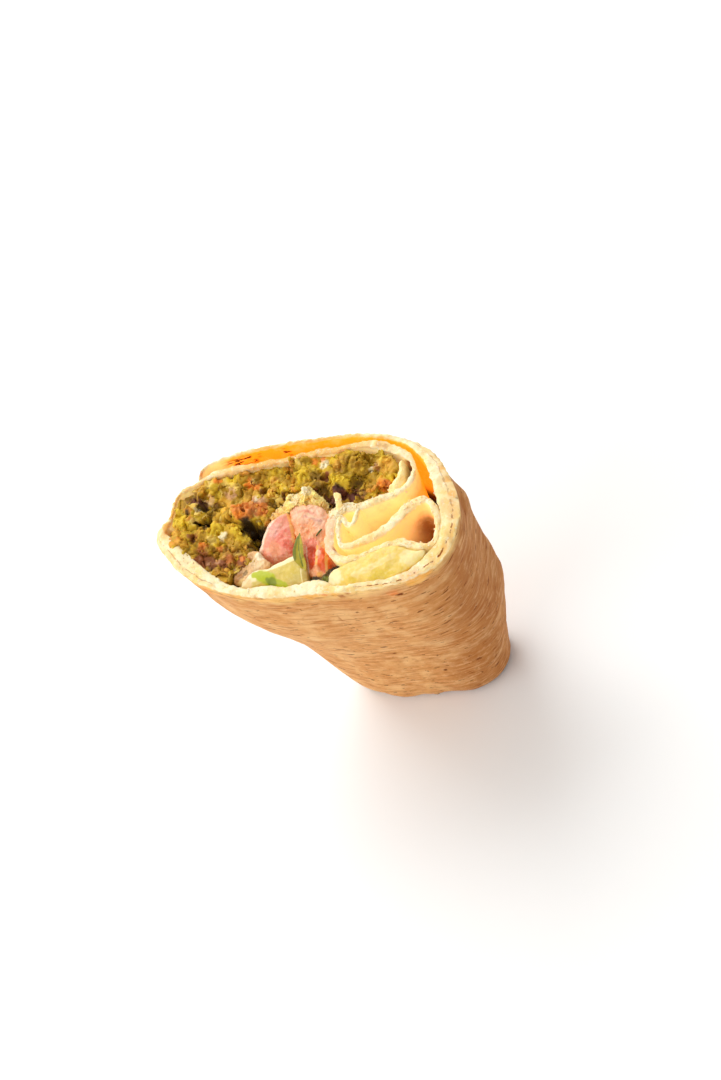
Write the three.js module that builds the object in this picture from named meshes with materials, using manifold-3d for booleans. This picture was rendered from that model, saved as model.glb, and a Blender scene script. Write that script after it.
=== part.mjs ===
// Half of a falafel wrap: a rolled flatbread standing on its folded end, cut face up, filled with
// falafel, tomato, cucumber, herbs, sauce and shreds.
// Millimetres, +Z up, the flat of the folded end on Z = 0, the footprint centred on the origin.
// X runs along the oval section and Y across it.
import * as THREE from 'three';
import { mergeVertices } from 'three/addons/utils/BufferGeometryUtils.js';
import Module from 'manifold-3d';

const wasm = await Module();
wasm.setup();

// ---------------------------------------------------------------- sizes of the rolled flatbread
const CUT_HEIGHT = 84;          // height of the cut face at the middle of the wrap
const CUT_SLOPE_X = -0.088;     // rise of the cut face for each millimetre along X
const CUT_SLOPE_Y = 0.109;      // rise of the cut face for each millimetre along Y
const HALF_LENGTH = 40.3;       // half the oval section along X at the cut
const HALF_WIDTH = 21.6;        // half the oval section along Y at the cut
const SHEET = 2.4;              // thickness of one layer of flatbread
const THIN_SHEET = 1.4;         // thickness of the outer layer where it spans the gap along the top
const DOUBLE_WALL = 4.3;        // thickness of the side wall where two layers are pressed together
const FOLDED_END = 9;           // height of the solid folded end
const GAP = 0.5;                // space between neighbouring pieces at the cut
const OVERSHOOT = 6;            // how far cutting blocks run past the cut face
const CENTRING = -0.36;         // shift along X that centres the footprint
const TURN_POINTS = 72;         // points round the outer turn of the sheet
const FOLD_POINTS = 2;          // points between two bends of the inner turn and the pleats

// How square the oval is at every 45 degrees from +X: 2 is an ellipse, more is squarer.
const SQUARENESS = [2.7, 2.4, 2.4, 2.35, 2.0, 2.0, 2.7, 3.5];
const FREE_END_ANGLE = 151;     // where the outer layer of the roll ends, in degrees
// How far the layer under the free end lies inside the oval: [degrees, millimetres].
const TUCK = [[151, 3.2], [166, 1.7], [178, 1.4], [184, 0]];
// Thickness of the outer turn, clockwise from the lower side wall to the free end along the top.
const LAYERS = [[-70, SHEET], [-45, DOUBLE_WALL], [20, DOUBLE_WALL], [36, SHEET], [80, THIN_SHEET]];

// Sections of the body: [share of the height, width factors along X and Y, shifts along X and Y].
const BODY = [
  [0.0, 0.53, 0.42, -0.5, 0.9],
  [0.02, 0.57, 0.48, -0.4, 0.9],
  [0.07, 0.6, 0.56, -0.1, 0.8],
  [0.16, 0.64, 0.64, 0.5, 0.8],
  [0.42, 0.78, 0.74, 1.5, 1.5],
  [0.72, 0.9, 0.91, -0.4, -0.6],
  [1.0, 1.0, 1.0, 0.0, 0.0],
];
// Shares of the height where the outside, the sheet and the fillings have a row of points.
// A share above 1 stands for the cut face raised by OVERSHOOT.
const BODY_SHARES = [0, 0.01, 0.03, 0.07, 0.15, 0.28, 0.42, 0.57, 0.72, 0.86, 1];
const SHEET_SHARES = [0.06, 0.15, 0.28, 0.42, 0.57, 0.78, 1, 1.2];
const FILLING_SHARES = [0.06, 0.2, 0.42, 0.7, 1.2];

// The inner turn as [x, y, thickness]: from under the free end along the top, round the far end
// of the filling and back to a fold.
const INNER_TURN = [
  [-33.0, 10.7, 2.2], [-26.5, 14.2, 1.8], [-18, 15.9, 1.6], [-9, 17, 1.6], [4, 18.5, 1.8],
  [15, 18.5, 2.0], [21.8, 16.7, 2.6], [25.6, 13.6, 3.0], [26.5, 9.8, 3.2], [25.0, 6.0, 2.8],
  [21.2, 3.6, 2.4], [16.5, 2.1, 2.2], [12, 1.9, 2.2], [8.9, 1.4, 2.2],
];
// The pleats: down past the tomato, along the lower side, round a big loop and back to a curl.
const PLEATS = [
  [6.9, -0.8, 2.4], [6.4, -4.6, 2.6], [7.0, -9.2, 2.8], [9.6, -12.2, 2.6], [13.8, -12.4, 2.3],
  [18.4, -10.9, 2.2], [22.8, -9.4, 2.2], [27.5, -9.9, 2.2], [31.6, -11.1, 2.2], [34.2, -9.2, 2.2],
  [34.9, -5, 2.2], [33.8, -0.9, 2.2], [31, 1.4, 2.2], [27.8, 0.8, 2.2], [24.8, -2.2, 2.2],
  [20.8, -5.7, 2.2], [15.6, -8.2, 2.0], [11.4, -9.2, 1.8], [9.5, -7.4, 1.7], [9.4, -4.6, 1.7],
  [10.6, -3.3, 1.7], [12.3, -4.2, 1.7], [13.7, -3, 1.7], [13.9, -0.9, 1.6],
];

// ---------------------------------------------------------------- sizes of the fillings
const CRUMB = 1.9;              // width of the crags on broken falafel
const CRAG_DEPTH = 2.4;         // depth of the crags on broken falafel
const CRAG_GRAIN = 0.9;         // depth of the single crumbs on the crags
const SOFT_CELL = 3.2;          // spacing of the points on a soft cut face
const SOFT_DEPTH = 0.9;         // unevenness of a soft cut face
const SINK = 0.4;               // how far the fillings stay below the cut edge of the bread

// Outlines of the fillings on the cut face. They run past the flatbread, which trims them.
const UPPER_FALAFEL = [
  [-36, 14], [-35, 8], [-32, 4.2], [-28.4, 1.4], [-24.5, 2.6], [-20.5, 1.2], [-17, -1.6],
  [-13, -0.6], [-10.3, 2.6], [-7.4, 6.2], [-2.5, 8.2], [3, 7.6], [5.5, 4.2], [8.5, 1], [18, 1],
  [30, 8], [20, 22], [-20, 21],
];
const LOWER_FALAFEL = [
  [-42, 4], [-37, 8], [-33.6, 3.6], [-29.4, -0.6], [-24.5, 0.9], [-20.6, -0.5], [-17, -3.2],
  [-14.2, -4.6], [-13.4, -8.6], [-13.8, -11.4], [-17, -12.4], [-20.2, -14.6], [-21, -20],
  [-35, -16],
];
const LEFT_TOMATO = [
  [-10.4, -2.2], [-8.8, -0.1], [-6.2, 0.9], [-4.3, -0.2], [-3.3, -4], [-2.7, -8], [-3.6, -10.9],
  [-7.4, -11.6], [-10.3, -10.9], [-11.8, -8.6], [-11.5, -5],
];
const RIGHT_TOMATO = [
  [-3.6, 0.8], [0, 2.2], [4, 2], [7, 0], [6.6, -4], [7.6, -10], [8, -14.4], [5.4, -17.2],
  [2.8, -16.6], [1.6, -13.2], [0.2, -9], [-2, -6.5], [-3, -3.5],
];
const CUCUMBER_CHUNK = [
  [-12.2, -15], [-9.2, -13.4], [-7.2, -12.1], [-3.4, -11.5], [-1.2, -10.9], [0.3, -12.5],
  [1.3, -16], [2, -22], [-6, -22], [-10.4, -19],
];
const CUCUMBER_SLICE = [
  [7.8, -18], [9.2, -16.3], [11.4, -15.9], [18.3, -14.8], [21.5, -12.2], [28.5, -9.4],
  [34, -9.6], [37, -13], [30, -18.6], [20, -22], [9, -22],
];
const SAUCE = [
  [-20.5, -14.2], [-17.5, -12.6], [-13.6, -11.6], [-10.4, -11.3], [-9.4, -12.6], [-11.6, -14.6],
  [-11.4, -17.5], [-10, -22], [-20, -21],
];
const SHRED_BED = [
  [-7.2, 5.6], [-4.6, 7.4], [-0.6, 7.9], [3, 6.4], [4.4, 3], [0.4, 2.6], [-3.4, 1.4], [-6.6, 1.8],
];
const DARK_LEAF = [
  [1.6, -17.4], [4.4, -18.1], [7, -18], [7.8, -16.9], [9.4, -14.8], [10.4, -15.2], [9, -16.6],
  [7, -22], [1, -22],
];

const LEAF = {
  length: 9.4,                  // along the slope of the tomato
  halfWidth: 1.7,
  thickness: 0.6,
  tip: [-0.7, -5.2],
  foot: [1.3, -14.6],
  lift: 0.3,                    // height of the tip above the cut face
  sink: 3.4,                    // how far the foot lies lower than the tip
  fold: 0.7,                    // height of the sides over the rib
  wave: 0.25,
  rows: 9,
  columns: 4,
};
const SHREDS = { count: 7, length: 5, width: 1.1, middle: [-1.2, 4.9], spread: [7.4, 2], seed: 2 };

// ---------------------------------------------------------------- small helpers
const radians = THREE.MathUtils.degToRad;
const lerp = THREE.MathUtils.lerp;
const at = (x, y) => new THREE.Vector2(x, y);
const cutHeight = (x, y) => CUT_HEIGHT + CUT_SLOPE_X * x + CUT_SLOPE_Y * y;

/** Straight-line reading of a table of [key, value] rows, held at both ends. */
function readTable(rows, key) {
  const last = rows.length - 1;
  if (key <= rows[0][0]) return rows[0][1];
  if (key >= rows[last][0]) return rows[last][1];
  const k = rows.findIndex((row) => row[0] > key) - 1;
  return THREE.MathUtils.mapLinear(key, rows[k][0], rows[k + 1][0], rows[k][1], rows[k + 1][1]);
}

/** Smooth reading of one column of BODY at a share of the height. */
function bodyValue(share, column) {
  const k = Math.max(0, BODY.findIndex((row) => row[0] >= share) - 1);
  const slope = (i) => {
    const before = BODY[Math.max(0, i - 1)];
    const after = BODY[Math.min(BODY.length - 1, i + 1)];
    return (after[column] - before[column]) / (after[0] - before[0]);
  };
  const [low, high] = [BODY[k], BODY[k + 1]];
  const span = high[0] - low[0];
  const t = (share - low[0]) / span;
  const bend = slope(k) * t * (1 - t) ** 2 - slope(k + 1) * t * t * (1 - t);
  return low[column] + (high[column] - low[column]) * t * t * (3 - 2 * t) + span * bend;
}

/** Places a point of the cut face at a share of the body's height. */
function place(x, y, share) {
  const level = Math.min(share, 1);
  const px = CENTRING + bodyValue(level, 3) + bodyValue(level, 1) * x;
  const py = bodyValue(level, 4) + bodyValue(level, 2) * y;
  return [px, py, level * cutHeight(x, y) + (share > 1 ? OVERSHOOT : 0)];
}

/** Seeded noise in 0..1 for a pair of numbers. */
function noise(i, j, seed) {
  const wave = Math.sin(i * 127.1 + j * 311.7 + seed * 74.7) * 43758.5453;
  return wave - Math.floor(wave);
}

/** Smooth noise in 0..1 whose lumps are about `size` wide. */
function lumps(x, y, size, seed) {
  const i = Math.floor(x / size);
  const j = Math.floor(y / size);
  const u = THREE.MathUtils.smoothstep(x / size - i, 0, 1);
  const v = THREE.MathUtils.smoothstep(y / size - j, 0, 1);
  const low = lerp(noise(i, j, seed), noise(i + 1, j, seed), u);
  const high = lerp(noise(i, j + 1, seed), noise(i + 1, j + 1, seed), u);
  return lerp(low, high, v);
}

// ---------------------------------------------------------------- solids
/** A manifold solid from a closed three.js geometry. */
function geometrySolid(geometry) {
  geometry.deleteAttribute('normal');
  geometry.deleteAttribute('uv');
  const merged = mergeVertices(geometry, 1e-4);
  const vertProperties = Float32Array.from(merged.attributes.position.array);
  const triVerts = Uint32Array.from(merged.index.array);
  return new wasm.Manifold(new wasm.Mesh({ numProp: 3, vertProperties, triVerts }));
}

/** A manifold solid from corner positions and triangles. */
function toSolid(positions, triangles) {
  const geometry = new THREE.BufferGeometry();
  geometry.setAttribute('position', new THREE.Float32BufferAttribute(positions, 3));
  geometry.setIndex(triangles);
  return geometrySolid(geometry);
}

/** The largest piece of a solid, with loose scraps dropped. */
function largestPiece(solid) {
  return solid.decompose().reduce((best, piece) => (piece.volume() > best.volume() ? piece : best));
}

/** A named mesh from a manifold solid. */
function toMesh(name, solid, color, roughness) {
  const { vertProperties, triVerts } = solid.getMesh();
  const geometry = new THREE.BufferGeometry();
  geometry.setAttribute('position', new THREE.BufferAttribute(Float32Array.from(vertProperties), 3));
  geometry.setIndex(new THREE.BufferAttribute(Uint32Array.from(triVerts), 1));
  geometry.computeVertexNormals();
  const mesh = new THREE.Mesh(geometry, new THREE.MeshStandardMaterial({ color, roughness }));
  mesh.name = name;
  return mesh;
}

/** Sweeps an outline of the cut face down the body through shares of its height. */
function sweep(outline, shares) {
  const points = THREE.ShapeUtils.isClockWise(outline) ? outline.slice().reverse() : outline;
  const count = points.length;
  const positions = shares.flatMap((share) => points.flatMap((p) => place(p.x, p.y, share)));
  const top = (shares.length - 1) * count;
  const triangles = [];
  for (const [a, b, c] of THREE.ShapeUtils.triangulateShape(points, [])) {
    triangles.push(c, b, a, top + a, top + b, top + c);
  }
  for (let level = 0; level + 1 < shares.length; level += 1) {
    for (let i = 0; i < count; i += 1) {
      const a = level * count + i;
      const b = level * count + ((i + 1) % count);
      triangles.push(a, b, b + count, a, b + count, a + count);
    }
  }
  return toSolid(positions, triangles);
}

/** Closes two layers of a grid of points, the first one below, into a solid. */
function closeGrid(positions, columns, rows) {
  const wide = columns + 1;
  const layer = wide * (rows + 1);
  const triangles = [];
  const wall = (a, b) => triangles.push(a, b, layer + b, a, layer + b, layer + a);
  for (let j = 0; j < rows; j += 1) {
    for (let i = 0; i < columns; i += 1) {
      const a = j * wide + i;
      const b = a + wide;
      triangles.push(a, b, a + 1, a + 1, b, b + 1);
      triangles.push(layer + a, layer + a + 1, layer + b, layer + a + 1, layer + b + 1, layer + b);
    }
    wall((j + 1) * wide, j * wide);
    wall(j * wide + columns, (j + 1) * wide + columns);
  }
  for (let i = 0; i < columns; i += 1) {
    wall(i, i + 1);
    wall(rows * wide + i + 1, rows * wide + i);
  }
  return toSolid(positions, triangles);
}

/** A block on top of the folded end whose top is the cut face, sunk by depth(x, y). */
function roughBlock(cell, depth) {
  const columns = Math.ceil((2 * HALF_LENGTH) / cell) + 4;
  const rows = Math.ceil((2 * HALF_WIDTH) / cell) + 4;
  const positions = [];
  for (const isTop of [false, true]) {
    for (let j = 0; j <= rows; j += 1) {
      for (let i = 0; i <= columns; i += 1) {
        const x = (i - columns / 2 + (j % 2) / 2) * cell;
        const y = (j - rows / 2) * cell;
        positions.push(x, y, isTop ? cutHeight(x, y) - SINK - depth(x, y) : FOLDED_END + GAP);
      }
    }
  }
  return closeGrid(positions, columns, rows);
}

/** Outline of a ribbon along a path of (x, y, thickness), grown on every side by `extra`. */
function ribbon(path, extra, outwards = 0) {
  const left = [];
  const right = [];
  const last = path.length - 1;
  path.forEach((p, i) => {
    const before = path[Math.max(0, i - 1)];
    const after = path[Math.min(last, i + 1)];
    const along = at(after.x - before.x, after.y - before.y).normalize();
    const shift = (i === last ? extra : 0) - (i === 0 ? extra : 0);
    const middle = at(p.x, p.y).addScaledVector(along, shift);
    const inner = p.z / 2 + extra;
    const outer = inner + outwards * (1 - i / last);
    left.push(at(middle.x - along.y * outer, middle.y + along.x * outer));
    right.push(at(middle.x + along.y * inner, middle.y - along.x * inner));
  });
  return left.concat(right.reverse());
}

/** Closed smooth outline through a few corners, moved outwards by `distance`. */
function rounded(corners, distance = 0) {
  const loop = new THREE.CatmullRomCurve3(corners.map(([x, y]) => new THREE.Vector3(x, y, 0)), true);
  const points = loop.getSpacedPoints(2 * corners.length + 12).slice(0, -1);
  const side = THREE.ShapeUtils.isClockWise(points) ? -1 : 1;
  return points.map((p, i) => {
    const before = points.at(i - 1);
    const after = points[(i + 1) % points.length];
    const along = at(after.x - before.x, after.y - before.y).normalize();
    return at(p.x + side * along.y * distance, p.y - side * along.x * distance);
  });
}

// ---------------------------------------------------------------- the flatbread
/** Distance from the middle to the outside of the roll, `degrees` round from +X. */
function rollRadius(degrees) {
  const turn = THREE.MathUtils.euclideanModulo(degrees, 360);
  const k = Math.floor(turn / 45);
  const power = lerp(SQUARENESS[k], SQUARENESS[(k + 1) % SQUARENESS.length], turn / 45 - k);
  const x = Math.abs(Math.cos(radians(turn))) / HALF_LENGTH;
  const y = Math.abs(Math.sin(radians(turn))) / HALF_WIDTH;
  return (x ** power + y ** power) ** (-1 / power);
}

/** Angle of a point of the roll's outside, clockwise from the free end. */
const turnAngle = (i) => FREE_END_ANGLE - (360 * i) / TURN_POINTS;

/** Outside of the roll with the step where the outer layer ends. */
function rollOutline() {
  return Array.from({ length: TURN_POINTS + 1 }, (_, i) => {
    const degrees = turnAngle(i);
    const tuck = i > TURN_POINTS / 2 ? readTable(TUCK, degrees + 360) : 0;
    const radius = rollRadius(degrees) - tuck;
    return at(radius * Math.cos(radians(degrees)), radius * Math.sin(radians(degrees)));
  });
}

/** Middle of the outer turn of the sheet, clockwise from its free end, as (x, y, thickness). */
function outerTurn() {
  return rollOutline().map((p, i) => {
    const thickness = readTable(LAYERS, turnAngle(i));
    const middle = p.clone().setLength(p.length() - thickness / 2);
    return new THREE.Vector3(middle.x, middle.y, thickness);
  });
}

/** Middle of the inner turn and the pleats, as (x, y, thickness). */
function innerTurn() {
  const bends = INNER_TURN.concat(PLEATS).map((bend) => new THREE.Vector3(...bend));
  return new THREE.CatmullRomCurve3(bends).getPoints(FOLD_POINTS * (bends.length - 1));
}

/** The rolled-up sheet, grown by `extra` on every side and by `outwards` past its outside. */
function rolledSheet(extra, outwards) {
  const outer = sweep(ribbon(outerTurn(), extra, outwards), SHEET_SHARES);
  return outer.add(sweep(ribbon(innerTurn(), extra), SHEET_SHARES));
}

/** The whole flatbread: the rolled sheet joined to its solid folded end. */
function makeFlatbread() {
  const body = sweep(rollOutline(), BODY_SHARES);
  const end = new THREE.BoxGeometry(3 * HALF_LENGTH, 3 * HALF_WIDTH, 2 * FOLDED_END);
  return body.intersect(rolledSheet(0, SHEET).add(geometrySolid(end)));
}

// ---------------------------------------------------------------- the fillings
const cragDepth = (x, y) => CRAG_DEPTH * lumps(x, y, 2 * CRUMB, 3) + CRAG_GRAIN * noise(x, y, 5);
const softDepth = (x, y) => SOFT_DEPTH * lumps(x, y, 2 * SOFT_CELL, 8);
const craggyBlock = roughBlock(CRUMB, cragDepth);
const softBlock = roughBlock(SOFT_CELL, softDepth);
const breadRoom = rolledSheet(GAP, 2 * SHEET);

/** The room of a filling: its column grown by the gap. */
function roomOf(corners) {
  return sweep(rounded(corners, GAP), FILLING_SHARES);
}

/** A filling that runs down through the wrap, trimmed by the bread and its neighbours' rooms. */
function makeFilling(corners, block, rooms) {
  const column = sweep(rounded(corners), FILLING_SHARES).intersect(block);
  const trimmed = rooms.reduce((solid, room) => solid.subtract(room), column);
  return largestPiece(trimmed.subtract(breadRoom));
}

/** The pointed herb leaf that lies over the tomato, grown by `extra` and upwards for its room. */
function makeLeaf(extra = 0) {
  const positions = [];
  for (const side of [-1, 1]) {
    for (let row = 0; row <= LEAF.rows; row += 1) {
      for (let column = 0; column <= LEAF.columns; column += 1) {
        const u = row / LEAF.rows;
        const v = 1 - (2 * column) / LEAF.columns;
        const half = (LEAF.halfWidth + extra) * Math.sin(Math.PI * (0.06 + 0.72 * u ** 0.8));
        const x = lerp(LEAF.tip[0], LEAF.foot[0], u) + half * v;
        const y = lerp(LEAF.tip[1] + extra, LEAF.foot[1] - extra, u);
        const bend = LEAF.fold * Math.abs(v) + LEAF.wave * Math.sin(LEAF.length * u + v);
        const middle = cutHeight(x, y) + LEAF.lift - LEAF.sink * u * u + bend;
        const reach = LEAF.thickness / 2 + extra * (side > 0 ? OVERSHOOT : 1);
        positions.push(CENTRING + x, y, middle + side * reach);
      }
    }
  }
  return closeGrid(positions, LEAF.columns, LEAF.rows);
}

/** Pale shreds heaped over the tomato: strips fused onto a bed that runs down the wrap. */
function makeShreds(bed) {
  let heap = bed;
  for (let k = 0; k < SHREDS.count; k += 1) {
    const draw = (n) => noise(k, n, SHREDS.seed);
    const x = SHREDS.middle[0] + SHREDS.spread[0] * ((k + draw(1)) / SHREDS.count - 0.5);
    const y = SHREDS.middle[1] + SHREDS.spread[1] * (draw(2) - 0.5);
    const length = SHREDS.length * lerp(0.6, 1, draw(3));
    const strip = new THREE.BoxGeometry(length, SHREDS.width, SHREDS.width);
    strip.rotateY(radians(lerp(-15, 15, draw(4))));
    strip.rotateZ(radians(lerp(40, 120, draw(5))));
    strip.translate(CENTRING + x, y, cutHeight(x, y) - SINK);
    heap = heap.add(geometrySolid(strip));
  }
  return heap;
}

// ---------------------------------------------------------------- the assembly
const leafRoom = makeLeaf(GAP);
const leftRoom = roomOf(LEFT_TOMATO);
const rightRoom = roomOf(RIGHT_TOMATO);
const shredRoom = roomOf(SHRED_BED);
const chunkRoom = roomOf(CUCUMBER_CHUNK);
const sliceRoom = roomOf(CUCUMBER_SLICE);
const lowerRoom = roomOf(LOWER_FALAFEL);

const upperFalafel = makeFilling(UPPER_FALAFEL, craggyBlock, [shredRoom, leftRoom, rightRoom]);
const lowerFalafel = makeFilling(LOWER_FALAFEL, craggyBlock, [leftRoom]);
const leftTomato = makeFilling(LEFT_TOMATO, softBlock, [leafRoom]);
const rightTomato = makeFilling(RIGHT_TOMATO, softBlock, [leafRoom, leftRoom]);
const cucumberChunk = makeFilling(CUCUMBER_CHUNK, softBlock, [leafRoom, leftRoom, rightRoom]);
const cucumberSlice = makeFilling(CUCUMBER_SLICE, softBlock, []);
const sauce = makeFilling(SAUCE, softBlock, [chunkRoom, leftRoom, lowerRoom]);
const darkLeaf = makeFilling(DARK_LEAF, softBlock, [chunkRoom, rightRoom, sliceRoom]);
const shredBed = makeFilling(SHRED_BED, softBlock, [leftRoom, rightRoom]);

const group = new THREE.Group();
group.add(toMesh('flatbread', makeFlatbread(), 0xe0b384, 0.75));
group.add(toMesh('falafel_upper', upperFalafel, 0x8d8434, 0.9));
group.add(toMesh('falafel_lower', lowerFalafel, 0x7d6a35, 0.9));
group.add(toMesh('tomato_left', leftTomato, 0xd9707a, 0.35));
group.add(toMesh('tomato_right', rightTomato, 0xe0625a, 0.35));
group.add(toMesh('cucumber_chunk', cucumberChunk, 0xdbe6a0, 0.4));
group.add(toMesh('cucumber_slice', cucumberSlice, 0xe3e08a, 0.4));
group.add(toMesh('sauce', sauce, 0xe6d0a8, 0.5));
group.add(toMesh('shreds', makeShreds(shredBed), 0xf2d98c, 0.6));
group.add(toMesh('herb_leaf', makeLeaf(), 0x4f8a2c, 0.5));
group.add(toMesh('dark_leaf', darkLeaf, 0x4c4a1c, 0.6));
export default group;
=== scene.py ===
"""Dresses the half falafel wrap: rolled flatbread, broken falafel, tomato, cucumber, sauce and herbs."""

import logging
import math
from contextlib import contextmanager
from dataclasses import dataclass, field
from enum import Enum
from typing import Callable, Iterator, Sequence

import bpy
import numpy as np
from mathutils import Matrix, Vector, noise


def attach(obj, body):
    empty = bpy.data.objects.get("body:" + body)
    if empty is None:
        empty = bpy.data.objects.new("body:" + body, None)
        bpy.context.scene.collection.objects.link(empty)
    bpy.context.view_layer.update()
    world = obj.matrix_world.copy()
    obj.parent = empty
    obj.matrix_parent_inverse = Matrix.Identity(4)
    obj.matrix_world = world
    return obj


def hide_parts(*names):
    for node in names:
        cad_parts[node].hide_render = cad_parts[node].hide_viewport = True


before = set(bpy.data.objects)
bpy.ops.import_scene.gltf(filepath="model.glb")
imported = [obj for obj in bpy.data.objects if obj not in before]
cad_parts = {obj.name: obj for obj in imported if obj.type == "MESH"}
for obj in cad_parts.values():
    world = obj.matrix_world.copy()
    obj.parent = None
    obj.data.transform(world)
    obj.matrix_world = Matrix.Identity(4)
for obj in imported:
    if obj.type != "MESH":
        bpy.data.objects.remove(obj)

log = logging.getLogger("falafel_wrap")
MM = 0.001
BODY = "root"
NOISE_SEED = 4
WELD = 2e-6  # metres between vertices that are merged

Array = np.ndarray
Material = bpy.types.Material
Object = bpy.types.Object
Rgb = tuple[int, int, int]
Socket = bpy.types.NodeSocket
Table = Sequence[Sequence[float]]
Triple = tuple[float, float, float]


# ---------------------------------------------------------------- helpers
def srgb(red: int, green: int, blue: int) -> tuple[float, float, float, float]:
    """Turns a colour given in 0..255 screen values into a linear colour."""
    values = [c / 255 for c in (red, green, blue)]
    linear_values = [c / 12.92 if c <= 0.04045 else ((c + 0.055) / 1.055) ** 2.4 for c in values]
    return (*linear_values, 1.0)


def linear(tone: Enum) -> Array:
    """The linear red, green and blue of a named tone."""
    return np.array(srgb(*tone.value)[:3])


def select_only(*pieces: Object) -> None:
    """Leaves edit mode and makes the given pieces the only selected ones, and the first of them active."""
    if bpy.context.object is not None and bpy.context.object.mode != "OBJECT":
        bpy.ops.object.mode_set(mode="OBJECT")
    bpy.ops.object.select_all(action="DESELECT")
    for piece in pieces:
        piece.select_set(True)
    bpy.context.view_layer.objects.active = pieces[0]


def named(piece: Object, name: str) -> Object:
    """Gives a piece and its mesh the same name and makes it the only selected piece."""
    piece.name = name
    piece.data.name = name
    select_only(piece)
    return piece


def join(pieces: Sequence[Object], name: str) -> Object:
    """Joins several pieces into the first one and names it."""
    select_only(*pieces)
    bpy.ops.object.join()
    return named(pieces[0], name)


@contextmanager
def editing(piece: Object, kind: str = "", chosen: Array | None = None) -> Iterator[None]:
    """Holds a piece in edit mode, with all of it selected or only some of its edges or faces.

    Args:
        piece: The piece to edit.
        kind: EDGE or FACE, when only some are selected.
        chosen: True for each edge or face that is selected.
    """
    select_only(piece)
    bpy.ops.object.mode_set(mode="EDIT")
    if chosen is None:
        bpy.ops.mesh.select_all(action="SELECT")
    else:
        bpy.ops.mesh.select_mode(type=kind)
        bpy.ops.mesh.select_all(action="DESELECT")
        bpy.ops.object.mode_set(mode="OBJECT")
        (piece.data.edges if kind == "EDGE" else piece.data.polygons).foreach_set("select", chosen)
        bpy.ops.object.mode_set(mode="EDIT")
    yield
    bpy.ops.object.mode_set(mode="OBJECT")


def face_outwards() -> None:
    """Turns every face of the piece in edit mode outwards."""
    bpy.ops.mesh.select_all(action="SELECT")
    bpy.ops.mesh.normals_make_consistent(inside=False)


def modify(piece: Object, kind: str, **settings: object) -> None:
    """Adds a modifier with some of its settings and applies it."""
    modifier = piece.modifiers.new(kind.lower(), kind)
    for key, value in settings.items():
        setattr(modifier, key, value)
    select_only(piece)
    bpy.ops.object.modifier_apply(modifier=modifier.name)


def read_rows(items: bpy.types.bpy_prop_collection, key: str) -> Array:
    """Reads a direction or place of every vertex or face as rows of three."""
    flat = np.empty(len(items) * 3, np.float32)
    items.foreach_get(key, flat)
    return flat.reshape(-1, 3).astype(float)


def corners_of(piece: Object) -> Array:
    """Reads a piece's vertices as an array of points."""
    return read_rows(piece.data.vertices, "co")


def normals_of(piece: Object) -> Array:
    """Reads the outward direction at every vertex."""
    return read_rows(piece.data.vertices, "normal")


def move_corners(piece: Object, points: Array) -> None:
    """Writes a piece's vertices back from an array of points."""
    piece.data.vertices.foreach_set("co", points.astype(np.float32).ravel())
    piece.data.update()


def add_tint(piece: Object, name: str, values: Array) -> None:
    """Stores one colour for every vertex of a piece.

    Args:
        piece: The piece that gets the attribute.
        name: The attribute's name.
        values: One row of up to four channels for every vertex.
    """
    layer = piece.data.color_attributes.new(name, "FLOAT_COLOR", "POINT")
    channels = np.ones((len(values), 4), np.float32)
    channels[:, : values.shape[1]] = values
    layer.data.foreach_set("color", channels.ravel())


def store(piece: Object, name: str, values: Array) -> None:
    """Stores one number for every vertex of a piece."""
    piece.data.attributes.new(name, "FLOAT", "POINT").data.foreach_set("value", values.astype(np.float32))


def stored(piece: Object, name: str) -> Array:
    """Reads a number stored for every vertex of a piece."""
    found = np.empty(len(piece.data.vertices), np.float32)
    piece.data.attributes[name].data.foreach_get("value", found)
    return found.astype(float)


def read_table(rows: Table, key: Array) -> Array:
    """Straight-line reading of a table of (key, value) rows, held at both ends."""
    keys, values = zip(*rows)
    return np.interp(key, keys, values)


def smooth_noise(points: Array, scale: float, seed: float, octaves: int = 3) -> Array:
    """Seeded noise in about -1..1 at an array of points.

    Args:
        points: Points in metres, one per row.
        scale: Size of the lumps in metres.
        seed: Shifts the pattern.
        octaves: How many finer layers are added.

    Returns:
        One value for every point.
    """
    shift = Vector((seed * 17.3, seed * 5.1, seed * 9.7))
    values = [noise.fractal(Vector(p) / scale + shift, 1.0, 2.0, octaves) for p in points]
    return np.array(values)


def smoothstep(value: Array, low: float, high: float) -> Array:
    """Rises smoothly from 0 at `low` to 1 at `high`; falls when `low` is above `high`."""
    t = np.clip((value - low) / (high - low), 0, 1)
    return t * t * (3 - 2 * t)


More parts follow.
